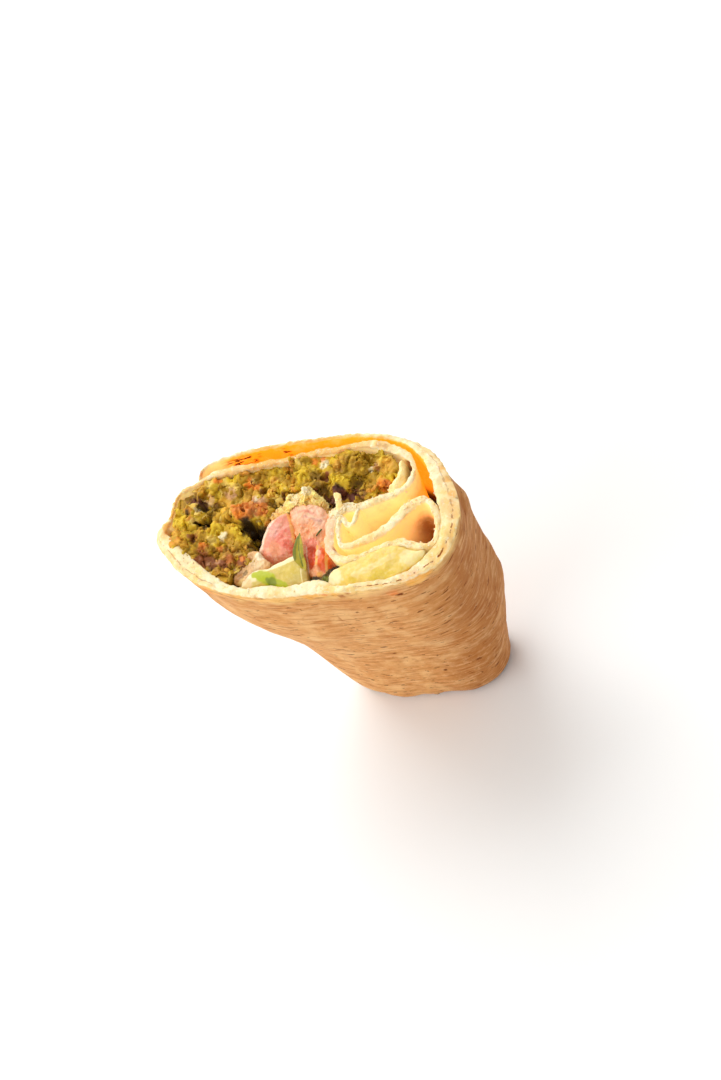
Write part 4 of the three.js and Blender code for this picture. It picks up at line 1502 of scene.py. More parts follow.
@dataclass
class LooseCrumbs:
    """Small flat chips that lie on a broken surface, in regions of low and high x and low and high y."""

    name: str
    slot: str
    finish: str
    count: int
    regions: Table
    tones: tuple[Enum, ...]
    smallest: float = 0.28
    largest: float = 0.95
    own_share: float = 0.35
    margin: float = 4.6
    seed: int = 5
    kinds: int = 5
    tries: int = 12
    deepest: float = 3.5
    sunk: float = 0.2
    unevenness: float = 0.34
    flatness: Triple = (1.0, 0.75, 0.5)

    def shape(self, number: int) -> Object:
        """Models one chip, about 2 across, with its own corners."""
        bpy.ops.mesh.primitive_ico_sphere_add(subdivisions=2, radius=1, location=(0, 0, 0))
        piece = named(bpy.context.object, f"crumb_{number}")
        with editing(piece):
            bpy.ops.transform.vertex_random(offset=self.unevenness, seed=number)
            bpy.ops.transform.resize(value=self.flatness)
        return piece

    def build(self, grounds: Sequence[Object]) -> Object:
        """Sets chips into the surfaces that carry them.

        Args:
            grounds: The pieces that carry them.

        Returns:
            The finished chips as one piece.
        """
        rng = np.random.default_rng(self.seed)
        shapes = [self.shape(k) for k in range(self.kinds)]
        bpy.context.view_layer.update()
        made: list[Object] = []
        for _ in range(self.count * self.tries):
            if len(made) == self.count:
                break
            low_x, high_x, low_y, high_y = self.regions[rng.integers(len(self.regions))]
            x, y = rng.uniform(low_x, high_x), rng.uniform(low_y, high_y)
            size = self.smallest + (self.largest - self.smallest) * rng.random() ** 2
            turn = rng.uniform(0, 2 * math.pi, 3)
            origin = Vector(((x + FORM.centring) * MM, y * MM, 0.1))
            best = None
            for ground in grounds:
                hit, place, normal, face = ground.ray_cast(origin, Vector((0, 0, -1)))
                if hit and (best is None or place.z > best[0].z):
                    best = (place, normal, ground, face)
            if best is None or depth_below_cut(np.array([best[0]]))[0] > self.deepest:
                continue
            if math.hypot(x, y) > FORM.radius(np.degrees(np.arctan2(y, x))) - self.margin:
                continue
            made.append(self.set_crumb(shapes[rng.integers(self.kinds)], best, size, turn, rng.random()))
        for shape in shapes:
            bpy.data.objects.remove(shape)
        whole = join(made, self.name)
        shade(whole, 40)
        return settle(whole, FINISHES[self.finish], self.slot)

    def set_crumb(self, shape: Object, ground: tuple, size: float, turn: Array, draw: float) -> Object:
        """Copies one chip to its place, in the colour of the ground or near it.

        Args:
            shape: The chip that is copied.
            ground: Where it sits: place, normal, piece and face.
            size: Half its width in millimetres.
            turn: Its turn about the three axes.
            draw: A random number that picks its tone.

        Returns:
            The copy.
        """
        place, normal, piece, face = ground
        crumb = bpy.data.objects.new("crumb", shape.data.copy())
        bpy.context.scene.collection.objects.link(crumb)
        about_x, about_y, about_z = (Matrix.Rotation(angle, 4, axis) for angle, axis in zip(turn, "XYZ"))
        spin = about_x @ about_y @ about_z
        centre = place + normal * size * MM * self.sunk
        crumb.data.transform(Matrix.Translation(centre) @ spin @ Matrix.Scale(size * MM, 4))
        corner = piece.data.polygons[face].vertices[0]
        under = np.array(piece.data.color_attributes["paint"].data[corner].color)[:3]
        own = linear(self.tones[int(draw * len(self.tones))])
        colour = under * (1 - self.own_share) * 1.1 + own * self.own_share
        add_tint(crumb, "paint", np.tile(colour, (len(crumb.data.vertices), 1)))
        return crumb


class Flesh(Enum):
    """Colours of the vegetables, and of the painted highlights and shade on them, as screen values."""

    PINK = (242, 152, 124)
    ROSE = (244, 128, 104)
    RED = (212, 68, 12)
    # pale pink, painted on the tomatoes as highlights
    BLUSH = (255, 222, 196)
    SALMON = (246, 160, 106)
    # painted shade on the tomato
    DUSKY = (204, 116, 76)
    PEEL = (236, 92, 6)
    GOLD = (255, 176, 74)
    GREY = (214, 150, 136)
    HERB = (74, 84, 24)
    PALE = (216, 190, 90)
    WATER = (253, 236, 184)
    SKIN = (184, 190, 0)
    GREEN = (120, 136, 0)
    SEA = (206, 174, 90)
    YELLOW = (240, 206, 96)
    LIME = (226, 194, 60)
    BUFF = (166, 112, 52)
    MILK = (242, 208, 156)
    TAHINI = (222, 172, 112)
    CREAM = (255, 236, 200)
    BUTTER = (255, 224, 128)
    TOASTED = (232, 172, 92)
    LEAF = (178, 158, 16)
    LEAF_DARK = (100, 108, 18)
    BOG = (96, 72, 14)
    # painted shadow, for gaps beside the right tomato and the dark leaf
    BLACK = (40, 18, 4)


@dataclass(frozen=True)
class WetFinish:
    """Moist flesh of a cut vegetable or sauce, coloured by the piece's own paint."""

    name: str
    vein: Rgb
    vein_share: float = 0.4
    vein_size: float = 520
    gloss: float = 0.25
    glow: float = 0.3
    reach: Triple = (1.0, 0.4, 0.25)
    depth: float = 0.002
    relief: float = 0.0002
    speck: Rgb = (255, 244, 215)

    def make(self) -> Material:
        """Builds the material.

        Returns:
            The material.
        """
        g = Graph(self.name)
        here = g.place()
        veins = g.noise(here, self.vein_size, 5, 0.65)
        fine = g.noise(here, self.vein_size * 3.5, 4, 0.7)
        pale = g.scale(g.ramp(g.channels("paint")[2], 0.0, 0.06), 0.2, 1)
        colour = g.wash(g.attribute("paint"), self.vein, veins, (0.5, 0.66), self.vein_share, pale)
        g.set("Base Color", g.wash(colour, self.speck, fine, (0.45, 0.7), 0.16, pale))
        g.set("Roughness", g.scale(veins, self.gloss, self.gloss + 0.25))
        g.bump(veins, 0.4, self.relief)
        g.bump(fine, 0.3, self.relief / 3)
        g.glow(self.glow, self.reach, self.depth)
        return g.material


@dataclass
class Wedge:
    """A cut piece or a smear in the wrap, shaped from its outline on the cut face, in millimetres.

    The outline's rows are x, y and height over the cut face, and those of the peaks x, y, radius and rise.
    """

    node: str
    name: str
    slot: str
    finish: str
    base: Enum
    outline: Table
    hub: tuple[float, float, float]
    spots: Sequence[Spot | Streak] = ()
    peaks: Table = ()
    rounding: float = 0.9
    crown: float = 0.4
    relief: float = 0.3
    relief_size: float = 2.6
    lumps: float = 0.0
    lump_size: float = 1.8
    wobble: float = 0.35
    seed: float = 3.0
    columns: int = 170
    rows: int = 100
    foot: float = 0.113
    top_share: float = 0.66
    wall_share: float = 0.96

    def places(self, around: Array, share: Array) -> Array:
        """Points of the piece at shares of its turn and of its way from the top's middle down to its foot."""
        ring = flow(self.outline, closed=True)
        ring = respaced(np.vstack([ring, ring[:1]]), self.columns + 1)
        x, y, height = ring[np.rint(around * self.columns).astype(int)].T
        stages = ((0, self.top_share), (self.top_share, self.wall_share), (self.wall_share, 1))
        top, wall, under = (np.clip((share - a) / (b - a), 0, 1) for a, b in stages)
        out = np.where(under > 0, 1 - under, top)
        hub_x, hub_y, hub_height = self.hub
        px, py = hub_x + (x - hub_x) * out, hub_y + (y - hub_y) * out
        lift = hub_height + (height - hub_height) * out**1.5 + self.crown * (1 - out * out)
        lift -= self.rounding * (1 - np.sqrt(np.maximum(1 - out**7, 0)))
        for peak_x, peak_y, radius, rise in self.peaks:
            lift += rise * np.clip(1.1 - np.hypot(px - peak_x, py - peak_y) / radius, 0, 1) ** 1.4
        level = 1 + lift / FORM.cut(px, py)
        level = np.where(share > self.top_share, level + (self.foot - level) * wall**2.6, level)
        return FORM.place(px, py, np.where(under > 0, self.foot, level))

    def build(self) -> Object:
        """Builds the piece.

        Returns:
            The finished piece.
        """
        piece = bent_grid(self.name, self.columns, self.rows, self.places)
        points, normals = corners_of(piece), normals_of(piece)
        near = smoothstep(depth_below_cut(points), 9, 3)
        height = self.relief * smooth_noise(points, self.relief_size * MM, self.seed, 3)
        height += 0.2 * self.relief * smooth_noise(points, self.relief_size * MM / 4, self.seed + 2, 2)
        if self.lumps:
            _, draw, slope = shards(points, self.lump_size * MM, self.seed, 0.5)
            height += self.lumps * (draw - 0.5 + 1.2 * slope)
            _, draw, slope = shards(points, self.lump_size * MM / 2.4, self.seed + 3, 0.5)
            height += self.lumps * 0.25 * (draw - 0.5 + slope)
        move_corners(piece, points + normals * (height * near * MM)[:, None])
        paint(piece, self.plain, self.spots, wobble=self.wobble, grain=1.2, seed=self.seed)
        shade(piece, 50 if self.lumps else 180)
        return settle(piece, FINISHES[self.finish], self.slot, self.node)

    def plain(self, points: Array) -> Array:
        """The base colour with soft light and dark patches, for every point."""
        light = 1 + 0.14 * smooth_noise(points, 0.0025, self.seed, 3)
        return linear(self.base) * light[:, None]


@dataclass
class Herb:
    """A pointed leaf blade folded along its rib, with a thin stalk beside it, in millimetres."""

    blade: Table = (
        (-0.3, -5.6, 1.5, 0.1, 0.12), (-0.4, -7.1, 1.4, 0.65, 0.2), (-0.4, -8.7, 1.2, 1.1, 0.22),
        (-0.5, -10.3, 0.9, 1.4, 0.22), (-0.4, -12, 0.5, 1.35, 0.22), (0.4, -13.4, 0.1, 1, 0.2),
        (0.6, -14.7, -0.4, 0.7, 0.18), (0.5, -15.9, -0.9, 0.3, 0.15),
    )
    stalk: Table = ((3.5, -6.3, 0.3, 0.16, 0.2), (4.2, -5.4, 0.4, 0.2, 0.2), (4.9, -4.4, 0.2, 0.16, 0.2))

    def build(self) -> Object:
        """Builds the leaf and its stalk.

        Returns:
            The finished leaf.
        """
        blade = strand("herb_blade", self.blade, 0.9, 40, 90, fold=0.35)
        stalk = strand("herb_stalk", self.stalk, 1.0, 10, 20)
        base = linear(Flesh.LEAF)
        spots = (
            Streak(((-0.9, -7), (-1.6, -10), (-1.5, -12.4)), 1, Flesh.LEAF_DARK, 0.8),
            Streak(((-0.3, -5.6), (-0.4, -10), (0.4, -14)), 0.35, Flesh.LEAF_DARK, 0.9),
            Streak(((0.3, -9), (0.6, -12)), 0.5, Flesh.LEAF_DARK, 0.5), Spot(3.5, -6, 0.6, Flesh.HERB),
            Spot(4.6, -4.8, 1, Flesh.HERB),
        )
        whole = join([blade, stalk], "herb_blade")
        paint(whole, lambda points: np.tile(base, (len(points), 1)), spots, wobble=0.2, grain=0.8)
        shade(whole, 50)
        return settle(whole, FINISHES["leaf"], "herb", "herb_leaf")


@dataclass
class Drip:
    """A small drop of sauce that has run down beside the folded end."""

    x: float = 1.5
    y: float = -8.9
    width: float = 1.5
    length: float = 2.6
    wave: float = 0.002

    def build(self) -> Object:
        """Builds the drop.

        Returns:
            The finished drop.
        """
        bpy.ops.mesh.primitive_uv_sphere_add(segments=32, ring_count=20, radius=1)
        piece = named(bpy.context.object, "sauce_drip")
        points = corners_of(piece)
        taper = 0.55 + 0.45 * smoothstep(points[:, 2], 1, -0.6)
        points[:, 0] *= taper * self.width
        points[:, 1] *= taper * self.width * 0.55
        points[:, 2] *= self.length
        points += np.array([self.x, self.y, self.length + 0.2])
        move_corners(piece, points * MM)
        waves = bpy.data.textures.new("waves", "CLOUDS")
        waves.noise_scale = self.wave
        modify(piece, "DISPLACE", texture=waves, texture_coords="LOCAL", strength=self.wave / 4)
        bpy.data.textures.remove(waves)
        paint(piece, lambda p: np.tile(linear(Flesh.BUFF), (len(p), 1)), ())
        shade(piece, 180)
        return settle(piece, FINISHES["sauce"], "sauce")


# ---------------------------------------------------------------- stage, light and camera
@dataclass
class Studio:
    """A plain pale floor, soft light and the camera, in degrees and metres.

    The camera sees the anchor at anchor_pixel of a frame of frame_size pixels. A lamp's row is its name,
    place, width and power in watts.
    """

    azimuth: float = 39.0
    elevation: float = 50.0
    roll: float = 40.0
    distance: float = 0.55
    lens: float = 73.33
    anchor: Triple = (-0.00036, 0.0, 0.084)
    anchor_pixel: tuple[float, float] = (305.0, 515.0)
    frame_size: tuple[float, float] = (721.0, 1080.0)
    sensor: float = 36.0
    floor_size: float = 6.0
    sky: tuple[float, float, float, float] = (1.0, 0.99, 0.97, 1.0)
    brightness: float = 0.55
    aim: Triple = (0.0, 0.0, 0.05)
    lamps: tuple[tuple[str, Triple, float, float], ...] = (
        ("key", (-0.35, 0.55, 0.95), 0.9, 9),
        ("fill", (-0.6, -0.6, 0.5), 1.0, 5),
    )

    def floor(self) -> None:
        """Lays a plain pale floor under the wrap."""
        bpy.ops.mesh.primitive_grid_add(x_subdivisions=24, y_subdivisions=24, size=self.floor_size)
        piece = named(bpy.context.object, "floor")
        g = Graph("floor")
        cloudy = g.scale(g.noise(g.place(), 8, 3), 0, 0.03)
        g.set("Base Color", g.mix(cloudy, srgb(252, 252, 251), srgb(238, 238, 236)))
        g.set("Roughness", 0.9)
        piece.data.materials.append(g.material)

    def world(self) -> None:
        """Lights everything softly from a near-white surround."""
        world = bpy.data.worlds.new("studio")
        world.use_nodes = True
        background = world.node_tree.nodes["Background"]
        background.inputs["Color"].default_value = self.sky
        background.inputs["Strength"].default_value = self.brightness
        bpy.context.scene.world = world
        bpy.context.scene.view_settings.view_transform = "Standard"

    def lamp(self, name: str, place: Triple, size: float, watts: float) -> None:
        """Hangs a large soft lamp that points at the wrap.

        Args:
            name: The lamp's name.
            place: Where it hangs, in metres.
            size: Width of the lamp in metres.
            watts: Its power.
        """
        bpy.ops.object.light_add(type="AREA", location=place)
        lamp = bpy.context.object
        lamp.name = name
        lamp.data.size = size
        lamp.data.energy = watts
        aim = Vector(self.aim) - Vector(place)
        lamp.rotation_mode = "QUATERNION"
        lamp.rotation_quaternion = aim.to_track_quat("-Z", "Y")

    def camera(self) -> None:
        """Sets the camera by its angles and the point that it holds in view."""
        turn, rise, roll = (math.radians(v) for v in (self.azimuth, self.elevation, self.roll))
        right = Vector((math.cos(turn), math.sin(turn), 0))
        back = Vector((math.sin(turn) * math.cos(rise), -math.cos(turn) * math.cos(rise), math.sin(rise)))
        up = back.cross(right)
        across = right * math.cos(roll) - up * math.sin(roll)
        upright = right * math.sin(roll) + up * math.cos(roll)
        focal = self.lens / self.sensor * self.frame_size[1]
        off_x = (self.anchor_pixel[0] - self.frame_size[0] / 2) / focal
        off_y = -(self.anchor_pixel[1] - self.frame_size[1] / 2) / focal
        place = Vector(self.anchor) - (across * off_x + upright * off_y - back) * self.distance
        bpy.ops.object.camera_add(location=place)
        camera = bpy.context.object
        camera.name = "view"
        camera.data.lens = self.lens
        camera.data.sensor_width = self.sensor
        camera.data.clip_start = 0.01
        camera.data.clip_end = 20
        camera.rotation_mode = "QUATERNION"
        camera.rotation_quaternion = Matrix((across, upright, back)).transposed().to_quaternion()
        bpy.context.scene.camera = camera

    def build(self) -> None:
        """Builds the stage, the lights and the camera."""
        self.floor()
        self.world()
        for lamp in self.lamps:
            self.lamp(*lamp)
        self.camera()


# ---------------------------------------------------------------- the whole wrap
FINISHES: dict[str, Material] = {}
WET_FINISHES = {
    "tomato": WetFinish("tomato", (255, 206, 156), 0.38, 560, 0.25, 0.3, (1.0, 0.5, 0.4), 0.002, 0.00025),
    "cucumber": WetFinish("cucumber", (250, 232, 170), 0.18, 300, 0.25, 0.4, (0.9, 1, 0.5), 0.0025, 0.00015),
    "sauce": WetFinish("sauce", (244, 214, 164), 0.25, 420, 0.35, 0.3, (1.0, 0.8, 0.6), 0.0015, 0.0002),
    "shreds": WetFinish("shreds", (255, 228, 160), 0.3, 500, 0.4, 0.35, (1.0, 0.85, 0.6), 0.0015, 0.0001),
    "leaf": WetFinish("herb", (176, 186, 70), 0.4, 900, 0.35, 0.15, (0.5, 1.0, 0.2), 0.0006, 0.0001),
}


def make_finishes() -> None:
    """Builds the finishes that several pieces share."""
    for key, finish in {"falafel": FalafelFinish(), **WET_FINISHES}.items():
        FINISHES[key] = finish.make()


# The darkest spots are painted shade in the holes and gaps between the lumps.
FALAFEL_SPOTS = tuple(Spot(*row) for row in (
    (-34.3, 1.5, 2.2, Tone.LIME), (-33.8, 7.6, 2, Tone.OLIVE, 0.7), (-35.2, -1.3, 1.5, Tone.AMBER, 0.7),
    (-33.2, -4.5, 1.5, Tone.AMBER, 0.7), (-29.9, 10.9, 1.8, Tone.AMBER, 0.8),
    (-26.9, 11.4, 1.2, Tone.STRAW, 0.8), (-25, 12.4, 1, Tone.ORANGE), (-27, 6.9, 1.5, Tone.BLUSH, 0.8),
    (-30, 3.3, 1.2, Tone.LIME), (-29.8, 4.1, 0.6, Tone.CREAM), (-30.7, 1.4, 0.9, Tone.STRAW, 0.7),
    (-31.9, 8, 1.5, Tone.PLUM), (-29.2, 6.6, 1, Tone.PLUM), (-27.3, 0.8, 1.6, Tone.SOOT),
    (-28, -0.6, 0.8, Tone.SOOT), (-32.3, 3.8, 0.8, Tone.SOOT, 0.9), (-23.8, 4.3, 0.6, Tone.SOOT, 0.9),
    (-24.7, 5.3, 1.2, Tone.MOSS), (-28.8, 5.1, 1, Tone.SOOT, 0.8), (-25.9, 3.4, 1.2, Tone.MOSS, 0.8),
    (-24.3, -1.8, 2.2, Tone.LIME), (-22.3, -3.3, 1, Tone.CREAM, 0.8), (-25.2, -4.2, 1.2, Tone.STRAW, 0.6),
    (-28.1, -2.8, 1.5, Tone.OLIVE, 0.6), (-30.3, -3.4, 1.2, Tone.CRUST, 0.9), (-27.5, -5.9, 1.2, Tone.ORANGE),
    (-22.8, -6.6, 0.9, Tone.ORANGE, 0.9), (-18.6, -1.5, 1.8, Tone.LIME, 0.9), (-16.5, -6.6, 1.8, Tone.OLIVE),
    (-15.4, -7, 1, Tone.AMBER, 0.9), (-17.8, -7.9, 0.8, Tone.MOSS), (-27.8, -9.2, 2.2, Tone.CRUST),
    (-24.9, -10.5, 1.8, Tone.PLUM, 0.9), (-21.6, -10.8, 1.5, Tone.CRUST), (-23.3, -10.1, 0.8, Tone.MAUVE),
    (-20, -9.9, 1.2, Tone.RUST), (-16.7, -10.7, 1.8, Tone.CRUST), (-16.5, -9.9, 0.8, Tone.RUST),
    (-26.3, -9.8, 0.8, Tone.MAUVE, 0.6), (-14.1, -9.6, 1.2, Tone.RUST, 0.6), (-17, 2.8, 2.8, Tone.RUST),
    (-13, 3.5, 2.2, Tone.RUST), (-18.3, 4.6, 1.2, Tone.ORANGE), (-17.5, 1.5, 1.2, Tone.ORANGE),
    (-14.2, 2.3, 1.1, Tone.CRUST, 0.6), (-14.2, 5.6, 1.2, Tone.MAUVE), (-12, 5.4, 1, Tone.MAUVE),
    # the small cream spot beside the mauve ones is a painted highlight
    (-13.7, 6.1, 0.6, Tone.CREAM, 0.7), (-15.2, 10.7, 2, Tone.ORANGE), (-15, 11.6, 0.9, Tone.STRAW),
    (-21.4, 8.9, 1.5, Tone.MAUVE, 0.8), (-20.6, 13, 1.8, Tone.LIME), (-21.4, 9.1, 0.6, Tone.OLIVE),
    (-13.7, 12.8, 2, Tone.OLIVE), (-12.2, 8.2, 1.2, Tone.PLUM, 0.7), (-9.8, 7.9, 1.5, Tone.AMBER),
    (-16.4, 8.1, 1.5, Tone.OLIVE), (-9.8, 11.6, 1, Tone.AMBER), (-9.5, 4.8, 1, Tone.MOSS),
    (-5.8, 6.4, 1.2, Tone.PLUM, 0.9), (-5.4, 14.8, 1.5, Tone.RUST, 0.8), (-2.1, 11.3, 2.2, Tone.LIME, 0.8),
    (-4.8, 10.2, 1.8, Tone.OLIVE, 0.8), (-1.3, 7, 1.5, Tone.LIME), (1.7, 10.9, 1.5, Tone.MOSS, 0.7),
    (3.9, 10.1, 1, Tone.CRUST, 0.9), (4.9, 11.1, 0.8, Tone.CRUST), (3.6, 14.3, 1.2, Tone.CREAM),
    (1.1, 15.2, 1, Tone.ORANGE, 0.9), (3.2, 15.8, 0.8, Tone.RUST), (7.1, 9.5, 1.8, Tone.LIME),
    (9.5, 9.5, 1.2, Tone.LIME), (7.9, 13.9, 1.8, Tone.AMBER, 0.8), (12.8, 8.9, 1.5, Tone.MOSS),
    (12.8, 12.8, 1.5, Tone.OLIVE), (16.3, 7.7, 1.8, Tone.OLIVE), (19.5, 6.8, 1.2, Tone.ORANGE),
    (21.3, 6.9, 0.9, Tone.RUST), (17.6, 13.1, 1.2, Tone.MAUVE, 0.9), (17, 13.1, 0.6, Tone.PLUM, 0.7),
    (16, 11.9, 0.6, Tone.CREAM, 0.7), (21.1, 11.6, 2.2, Tone.AMBER, 0.8), (19.1, 14.3, 1.8, Tone.LIME, 0.6),
    (3.5, 7.1, 1.8, Tone.MOSS), (5.1, 4.4, 1.8, Tone.PLUM), (7.3, 2.8, 1.5, Tone.PLUM),
    (8.4, 6, 1.8, Tone.PLUM), (11.7, 5.1, 2, Tone.PLUM), (14.3, 4.9, 1.5, Tone.PLUM, 0.8),
    (6.8, 2.1, 1, Tone.SOOT, 0.9), (2.2, 6.4, 1, Tone.CRUST), (8.3, 7.1, 1, Tone.SOOT, 0.6),
    # painted shade in the deepest hole
    (-14.4, -2.2, 2.5, Tone.PIT), (-13.3, -5.9, 2.1, Tone.PIT), (-12.4, -8.2, 1.2, Tone.PIT),
    (-16.2, -0.6, 1.6, Tone.PIT), (9.5, 12.5, 2.6, Tone.MOSS, 0.45), (-6, 12.6, 3, Tone.OLIVE, 0.5),
    (-22, -9.6, 4, Tone.CRUST, 0.5), (-27.5, -7.8, 2.2, Tone.CRUST, 0.5),
))
TOMATO_LEFT = Wedge(
    "tomato_left", "tomato_left_flesh", "tomato", "tomato", Flesh.PINK, hub=(-7.0, -4.6, 1.0), relief=0.3,
    outline=(
        (-5.7, 0.9, 0.6), (-7.2, 0.5, 0.4), (-8.9, -0.2, 0.1), (-10, -1.1, -0.1), (-10.7, -2.9, -0.4),
        (-11.5, -4.6, -0.6), (-12, -6.6, -0.8), (-12.4, -8.7, -1), (-11.4, -9.8, -1.2),
        (-10.5, -10.9, -1.4), (-9.1, -11.6, -1.6), (-7, -11.2, -1.6), (-5, -10.8, -1.4),
        (-3, -10.2, -1), (-2.5, -8.3, -0.5), (-2.3, -6.6, -0.1), (-2.7, -4, 0.3), (-3.1, -2.1, 0.5),
        (-3.8, -0.2, 0.7), (-4.6, 1, 0.7),
    ),
    spots=(
        Spot(-4.6, -6.5, 2.6, Flesh.ROSE, 0.9), Spot(-3.6, -8.4, 1.8, Flesh.RED, 0.6),
        Spot(-8, -4, 2.2, Flesh.GREY, 0.6),
        # painted highlight along the lit left edge, over its pale skin edge, and painted shade along the
        # bottom
        Streak(((-12, -8.6), (-11.6, -6), (-10.2, -2.6), (-8.6, -0.6), (-6.6, 0.4)), 2.2, Flesh.BLUSH, 0.9),
        Streak(((-12, -10), (-8.6, -11.4), (-4.6, -10.6)), 2.6, Flesh.DUSKY, 0.85),
        Spot(-6.6, -0.8, 1.2, Flesh.ROSE, 0.6),
        Streak(((-4.6, 0.8), (-3.7, -1.4), (-2.9, -4.4), (-2.6, -7)), 0.8, Flesh.GOLD, 0.8),
        Spot(-7.4, -8.6, 1.6, Flesh.SALMON, 0.6),
    ),
)
TOMATO_RIGHT = Wedge(
    "tomato_right", "tomato_right_flesh", "tomato", "tomato", Flesh.SALMON, hub=(1.6, -5.5, 0.1), seed=4.0,
    relief=0.4, relief_size=2.0, rounding=0.7,
    outline=(
        (-3.9, 2.2, 0.6), (-1.1, 2.4, 0.9), (2.1, 2.3, 0.9), (4.2, 1.7, 0.6), (5.7, 0.6, 0.2),
        (6.6, -0.5, -0.2), (6.6, -3, -0.6), (6.4, -5.4, -1), (6.4, -8.1, -1.2), (6.6, -10.7, -1.4),
        (6.8, -12.5, -1.6), (6.5, -14.6, -1.8), (5.5, -16.2, -2), (3.9, -16.8, -2), (2.1, -16.2, -2),
        (0.9, -15.2, -1.9), (-0.2, -12.9, -1.7), (-1.2, -10.4, -1.4), (-2.2, -7.8, -1), (-2.5, -5.5, -0.3),
        (-2.7, -4.2, 0.1), (-3, -2.7, 0.4), (-3.6, -0.9, 0.6),
    ),
    peaks=(
        (0.6, 0.2, 3.4, 0.8), (4.4, -0.6, 1.6, 0.5), (5.4, -12.6, 1.6, 0.9), (1.4, -4.6, 2, -0.7),
        (2.6, -10, 1.8, -0.5),
    ),
    spots=(
        # the pale spots at the top are painted highlights
        Spot(0, 0.6, 3.2, Flesh.BLUSH, 0.35), Spot(3.6, -0.6, 2.4, Flesh.BLUSH, 0.4),
        Spot(4.2, -3.2, 1.4, Flesh.BLUSH, 0.3),
        Streak(((-1.6, 0.6), (1.4, 0.2), (3.4, -0.8)), 0.7, Flesh.ROSE, 0.6),
        Streak(((0.4, -1), (3, -2), (4.6, -2.2)), 0.6, Flesh.GREY, 0.6),
        Spot(2.4, -8.2, 1.8, Flesh.ROSE, 0.8), Spot(2.2, -10.4, 1.7, Flesh.RED),
        Spot(2.9, -13, 1.8, Flesh.RED), Spot(5.2, -10.4, 1.5, Flesh.PEEL), Spot(5.3, -13.2, 1.7, Flesh.PEEL),
        Spot(5.6, -8, 1.2, Flesh.GOLD, 0.7),
        Streak(((3.8, -8.8), (3.6, -11.8), (3.4, -14.8)), 0.6, Flesh.GOLD),
        Spot(2.4, -15.2, 1, Flesh.SALMON), Spot(4.2, -15.6, 0.8, Flesh.GOLD),
        # this pale streak and the small pale spots below are painted highlights
        Streak(((0.9, -8.8), (1.1, -12), (1.2, -14.8)), 0.4, Flesh.BLUSH, 0.6),
        # the black streak along the top edge is painted shadow
        Streak(((3.6, 2.6), (5.2, 1.4)), 0.7, Flesh.BLACK, 0.9), Spot(3.4, -14.2, 0.8, Flesh.SALMON, 0.8),
        Spot(4.2, -10.5, 0.8, Flesh.BLUSH, 0.5),
        Streak(((5.8, -9.4), (6.1, -12), (5.8, -14.6)), 0.5, Flesh.GOLD, 0.9),
    ),
)
CHUNK = Wedge(
    "cucumber_chunk", "cucumber_chunk_flesh", "cucumber", "cucumber", Flesh.PALE, hub=(-3.6, -14.8, 0.3),
    seed=5.0, relief=0.1, relief_size=3.0, rounding=0.4, crown=0.1, wobble=0.15,
    outline=(
        (-9.4, -13.9, 0.2), (-6.9, -12.9, 0.5), (-4.7, -12.3, 0.7), (-2.8, -11.5, 0.8), (-1.3, -11.2, 0.8),
        (-0.2, -11.4, 0.7), (0.6, -12.5, 0.3), (1.1, -14.5, -0.1), (1.3, -16.3, -0.6), (1.2, -17.9, -1.2),
        (-0.7, -18.6, -1.4), (-2.8, -18.9, -1.5), (-5.2, -18.9, -1.5), (-7.4, -18.6, -1.5),
        (-10, -18.2, -1.4), (-12.6, -18.4, -1.3), (-14.7, -18.4, -1), (-16.2, -17.9, -0.8),
        (-15.9, -16.3, -0.4), (-14.5, -15, -0.1), (-13.1, -14.2, 0.1), (-11, -13.9, 0.2),
    ),
    spots=(
        Streak(((-16, -17), (-13, -14.6), (-10, -14.2), (-6, -13.2), (-1.4, -11.8)), 1.3, Flesh.WATER, 0.9),
        Spot(-12.6, -15, 1.8, Flesh.WATER, 0.9), Spot(-14.6, -17, 1.4, Flesh.MILK, 0.7),
        Spot(-1.2, -14.6, 1.5, Flesh.LIME, 0.3),
        Streak(((0.4, -12), (0.9, -15), (1, -18)), 1.4, Flesh.SEA, 0.9),
        Streak(((0.1, -12.2), (-0.1, -15), (0.1, -18)), 0.3, Flesh.WATER, 0.7),
        Streak(((-12.6, -15.2), (-10.2, -15.4)), 1.6, Flesh.SKIN),
        Streak(((-10.6, -15.6), (-8.2, -16.6)), 3, Flesh.SKIN),
        Streak(((-8, -17), (-4.6, -18.4)), 1.8, Flesh.SKIN),
        Streak(((-9, -16.6), (-8.2, -18.4)), 0.9, Flesh.GREEN, 0.8),
        Spot(-7.8, -17.2, 1, Flesh.GREEN, 0.8),
    ),
)
